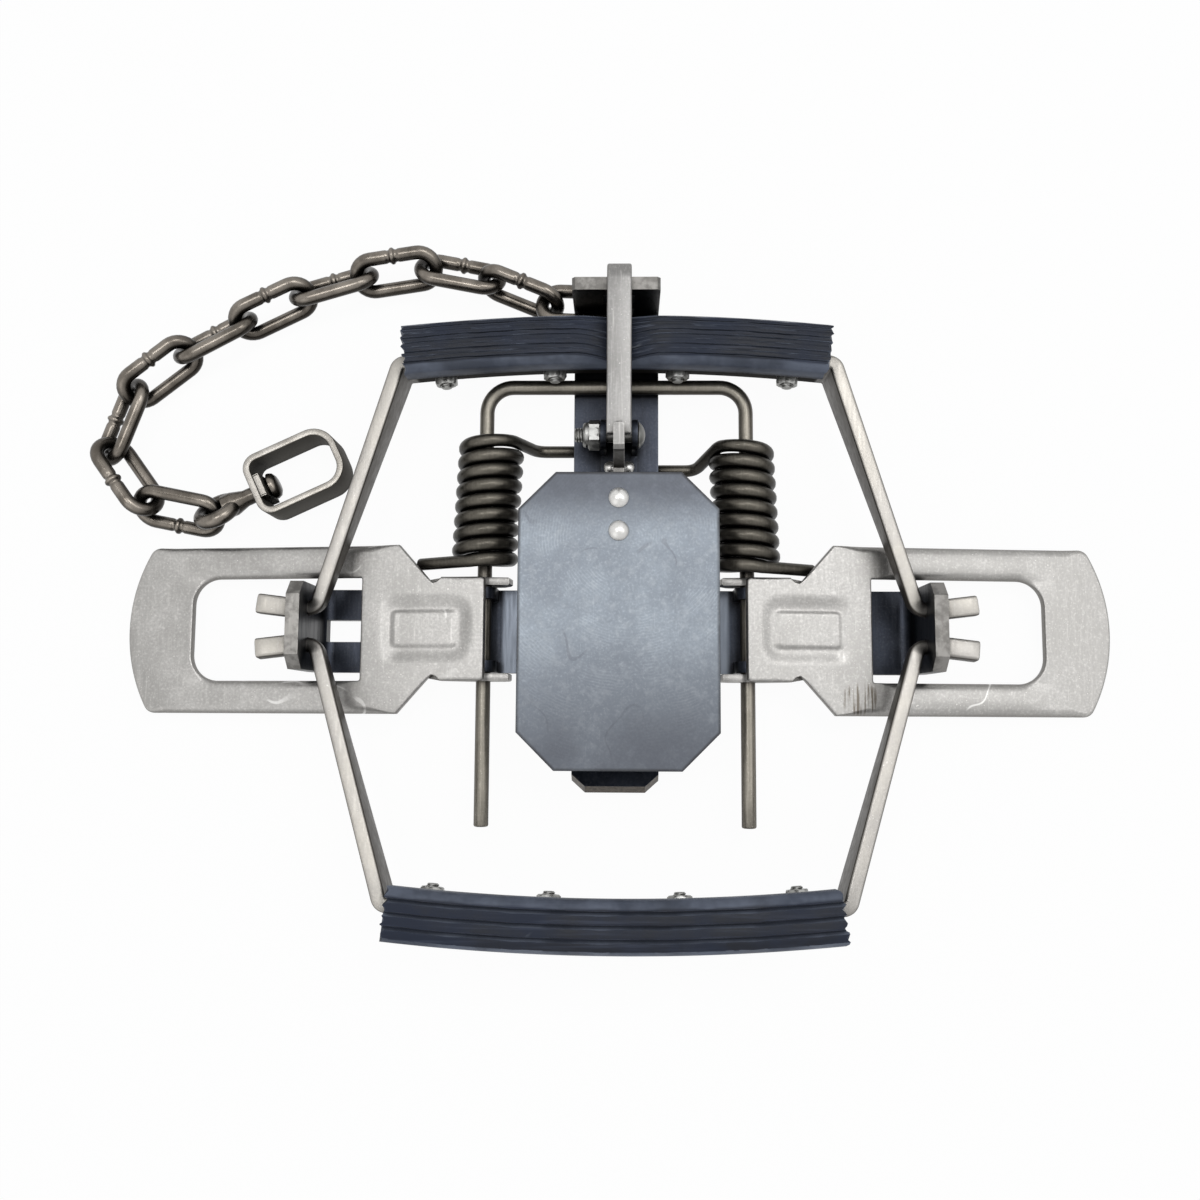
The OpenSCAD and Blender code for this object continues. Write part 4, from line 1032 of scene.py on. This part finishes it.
rivet = merged(
    moved(turnedForm(domed(trigger["rivetR"], trigger["rivetH"], 0.2, 8)), shift(0, 0, panTop)),
    turnedForm([(2.0, low), (2.2, low + 0.2), (2.2, low + 0.58), (shaft, low + 0.59),
                (shaft, panTop + 0.1)], 24))
pair = merged(*[moved(rivet, shift(trigger["x"], y, 0)) for y in trigger["rivets"]])
settle(piece("pan_rivet_pair", pair, 35), "pan_body", rivetSteel, "zinc_plate", "pan_rivets")
tie = merged(
    turnedForm([(trigger["tieBody"], trigger["tieLow"]), (trigger["tieBody"], trigger["tieZ"] + 0.1)], 16),
    moved(turnedForm(domed(trigger["tieR"], trigger["tieH"], 0.12)), shift(0, 0, trigger["tieZ"])))
ties = merged(*[moved(tie, shift(trigger["x"] + s * trigger["tieX"], trigger["tieY"], 0)) for s in (-1, 1)])
settle(piece("bracket_rivet_pair", ties, 35), "frame_body", rivetSteel, "zinc_plate", "bracket_rivets")

dog = {"y": 86.28, "z": 25, "wide": 6.2, "thick": 2.6, "inner": 2.893, "tipY": 46.9, "curl": 245, "edge": 0.5}


def dogForm():
    middle = dog["inner"] + dog["thick"] / 2
    line = [(y, dog["z"] + middle) for y in np.linspace(dog["tipY"], dog["y"], 14)[:-1]]
    line += [tuple(p) for p in arc((dog["y"], dog["z"]), middle, 90, 90 - dog["curl"], 40)]
    path = [(trigger["x"], y, z) for y, z in line]
    section = roundedSection(dog["thick"] / 2, -dog["wide"] / 2, dog["wide"] / 2, dog["edge"])
    return swept(path, section, up=(1, 0, 0), endRound=0.4)


settle(piece("dog_bar", dogForm()), "dog_body", dogSteel, "bare_steel", "dog")
print("trigger made")


# chain: welded links, swivel eye and swivel box, each laid by heading, dip and roll

chain = {
    "start": (1.5, 85.68, 11.5), "wire": 1.8, "inner": 5.4, "pitch": 17.5, "slack": 0.6, "eyeArc": 4.8,
    "eyeR": 2, "shankR": 2.2, "neck": 6.6, "boxT": 1.8, "boxL": 25.3, "boxW": 17, "boxD": 11.4, "boxLap": 3.1,
    "boxNearR": 4.2, "boxFarR": 6.4, "rootR": 3.2, "weldH": 0.42, "weldHalf": 0.55, "grooveH": 0.2,
    "grooveAt": 1.15, "grooveHalf": 0.4,
    "lay": [(175, 7.5, 14), (157, 1.5, -68), (169, 0, 37), (188, 2, -43), (196, 1, 50), (206, 0.5, -53),
            (208, 1, 52), (218, 1, -48), (250, 1, 38), (306, 1.5, -50), (349, 1.5, 36), (25, 0, -50)],
    "head": ((3.0, 0), (3.6, 0.35), (3.6, 0.9), (3.2, 1.8), (2.2, 2.45), (0.8, 2.6)),
}
linkArc = chain["inner"] / 2 + chain["wire"]
linkSpan = chain["pitch"] + 2 * chain["wire"] + chain["slack"]
links = len(chain["lay"]) - 1  # the swivel eye is laid last


def layTurn(k):
    heading, dip, roll = chain["lay"][k]
    return turn("Z", heading) @ turn("Y", dip) @ turn("X", roll)


def layPlaces():
    # start point of every link, the eye last
    spots = [Vector(chain["start"])]
    for k in range(1, links + 1):
        before, after = layTurn(k - 1).to_3x3(), layTurn(k).to_3x3()
        across = before.col[1].cross(after.col[1]).normalized()
        if across.dot(before.col[0] + after.col[0]) < 0:
            across.negate()
        wires = chain["wire"] + (chain["eyeR"] if k == links else chain["wire"])
        spots.append(spots[-1] + before.col[0] * linkSpan - across * (wires + chain["slack"]))
    return spots


def linkForm():
    reach = linkSpan / 2 - linkArc
    right = [(reach + p[0], p[1]) for p in arc((0, 0), linkArc, -90, 90, 16)]
    top = [(x, linkArc) for x in np.linspace(reach, -reach, 12)[1:-1]]
    left = [(-reach + p[0], p[1]) for p in arc((0, 0), linkArc, 90, 270, 16)]
    bottom = [(x, -linkArc) for x in np.linspace(-reach, reach, 58)[1:-1]]
    loop = right + top + left + bottom
    radius = []
    for x, y in loop:
        weld = 0.0
        if y < -linkArc + 0.01:
            groove = math.exp(-((abs(x) - chain["grooveAt"]) / chain["grooveHalf"]) ** 2)
            weld = chain["weldH"] * math.exp(-(x / chain["weldHalf"]) ** 4) - chain["grooveH"] * groove
        radius.append(chain["wire"] + weld)
    path = [(x + linkSpan / 2, y, 0) for x, y in loop]
    return tube(path, radius, 18, loop=True)


spots = layPlaces()
linkShape = linkForm()
for k in range(links):
    name = "chain_link_%02d" % (k + 1)
    shape = moved(linkShape, Matrix.Translation(spots[k]) @ layTurn(k))
    settle(piece(name + "_wire", shape), name + "_body", chainSteel, "oiled_steel", name)

ringEnd = 2 * chain["eyeArc"]
eyeLength = ringEnd + chain["neck"]
eyePlace = Matrix.Translation(spots[links]) @ layTurn(links)
ring = tube([(chain["eyeArc"] * (1 - math.cos(a)), chain["eyeArc"] * math.sin(a), 0) for a in around(40)],
            chain["eyeR"], 16, loop=True)
headFrom = eyeLength + 2 * chain["boxT"] + 0.4
shank = turnedForm([(chain["rootR"], ringEnd - 2.6), (chain["rootR"], ringEnd),
                    (chain["shankR"], ringEnd + 3.4), (chain["shankR"], headFrom + 0.1)], 28)
head = moved(turnedForm(chain["head"]), shift(0, 0, headFrom))
eye = merged(ring, moved(merged(shank, head), turn("Y", 90)))
eye = piece("swivel_eye_forged", moved(eye, eyePlace), 40)
settle(eye, "swivel_eye_body", chainSteel, "oiled_steel", "swivel_eye")


def boxForm():
    # bent strip that laps inside the end wall, pierced for the shank by two half walls
    thick, deep, lap = chain["boxT"], chain["boxD"] / 2, chain["boxLap"]
    long, wide = chain["boxL"], chain["boxW"] / 2
    inner = thick / 2
    bend, far = chain["boxNearR"] - inner, chain["boxFarR"] - inner
    hole = chain["shankR"] + 0.3
    line = [(inner, y) for y in np.linspace(-hole, bend + inner - wide, 4)[:-1]]
    near, end = bend + inner, long - inner - far
    corners = ((near, near - wide, bend, 180, 8), (end, far + inner - wide, far, 270, 10),
               (end, wide - inner - far, far, 0, 10), (near, wide - near, bend, 90, 8))
    for x, y, radius, first, steps in corners:
        line += [tuple(p) for p in arc((x, y), radius, first, first + 90, steps)]
    line += [(inner, y) for y in np.linspace(wide - near, hole, 4)[1:]]

    def strap(path, low, high, edge=0.3, endRound=0.0):
        section = roundedSection(inner, low, high, edge)
        return swept([(x, y, 0) for x, y in path], section, up=(0, 0, 1), endRound=endRound)

    parts = [strap(line, -deep, deep, 0.35)]
    for z in (-1, 1):
        low, high = sorted((z * hole, z * deep))
        parts.append(strap([(inner, -hole - 0.05), (inner, hole + 0.05)], low, high))
        parts.append(strap([(thick + inner, -lap), (thick + inner, lap)], low, high))
    for y in (-1, 1):
        parts.append(strap([(thick + inner, y * hole), (thick + inner, y * lap)], -deep, deep, endRound=0.2))
    return merged(*parts)


boxStart = spots[links] + layTurn(links).to_3x3().col[0] * eyeLength
boxPlace = Matrix.Translation(boxStart) @ turn("Z", chain["lay"][links][0])
strap = piece("swivel_box_strip", moved(boxForm(), boxPlace), 35)
settle(strap, "swivel_box_body", strapSteel, "oiled_steel", "swivel_box")
print("chain laid")


# floor, light and camera

studio = {
    "floorZ": -0.3, "floorSize": 6, "floorWhite": 0.96, "camera": (1.72, -22.8, 300),
    "cameraTurn": (0.18, 6.03, 1.11), "lens": 33.71, "sky": (0.95, 0.97, 1.0, 1), "skyPower": 0.45,
}
# place, size and power
lamps = {"keyLight": ((0.2, 0.3, 0.84), 0.35, 1.5), "leftLight": ((-0.22, 0.1, 0.88), 0.25, 1.0),
         "rightLight": ((0.52, 0.08, 0.72), 0.4, 0.75), "fillLight": ((-0.5, -0.5, 0.6), 0.7, 0.6)}


def backdrop(tree, plain, white, amount, output):
    # white for the camera, for reflections and through clear pieces, and plain for all other light
    camera, glossy, clear = [add(tree, "LightPath", out=ray)
                             for ray in ("Is Camera Ray", "Is Glossy Ray", "Is Transmission Ray")]
    seen = sums(tree, "MAXIMUM", camera, sums(tree, "MAXIMUM", glossy, clear))
    both = add(tree, "MixShader", {0: times(tree, seen, amount), 1: plain, 2: white})
    tree.links.new(both, tree.nodes[output].inputs["Surface"])


def paleFloor():
    finish, tree, shader = newFinish("paleFloor")
    shader.inputs["Base Color"].default_value = (0.9, 0.9, 0.9, 1)
    shader.inputs["Roughness"].default_value = 1.0
    shader.inputs["Specular IOR Level"].default_value = 0.0
    backdrop(tree, shader.outputs[0], add(tree, "Emission"), studio["floorWhite"], "Material Output")
    return finish


side, z = studio["floorSize"] / 2, studio["floorZ"] * mm
floorMesh = bpy.data.meshes.new("floor")
floorMesh.from_pydata([(-side, -side, z), (side, -side, z), (side, side, z), (-side, side, z)], [],
                      [(0, 1, 2, 3)])
floor = placed("floor", floorMesh)
floorMesh.materials.append(paleFloor())

world = bpy.data.worlds.new("studio")
scene.world = world
world.use_nodes = True
sky = world.node_tree.nodes["Background"]
sky.inputs["Color"].default_value = studio["sky"]
sky.inputs["Strength"].default_value = studio["skyPower"]
white = add(world.node_tree, "Background", {"Color": (1, 1, 1, 1)})
backdrop(world.node_tree, sky.outputs[0], white, 1.0, "World Output")

for name, (place, size, power) in lamps.items():
    light = bpy.data.lights.new(name, "AREA")
    light.shape = "DISK"
    light.size = size
    light.energy = power
    lamp = placed(name, light)
    lamp.location = place
    lamp.rotation_euler = (-Vector(place)).to_track_quat("-Z", "Y").to_euler()

eyePoint = bpy.data.cameras.new("camera")
eyePoint.lens = studio["lens"]
eyePoint.sensor_width = 36
eyePoint.clip_start = 0.01
camera = placed("camera", eyePoint)
spinZ, tiltX, rollY = studio["cameraTurn"]
camera.matrix_world = (Matrix.Translation(Vector(studio["camera"]) * mm) @ turn("Z", spinZ) @ turn("X", tiltX)
                       @ turn("Y", rollY))
scene.camera = camera
print("studio set")
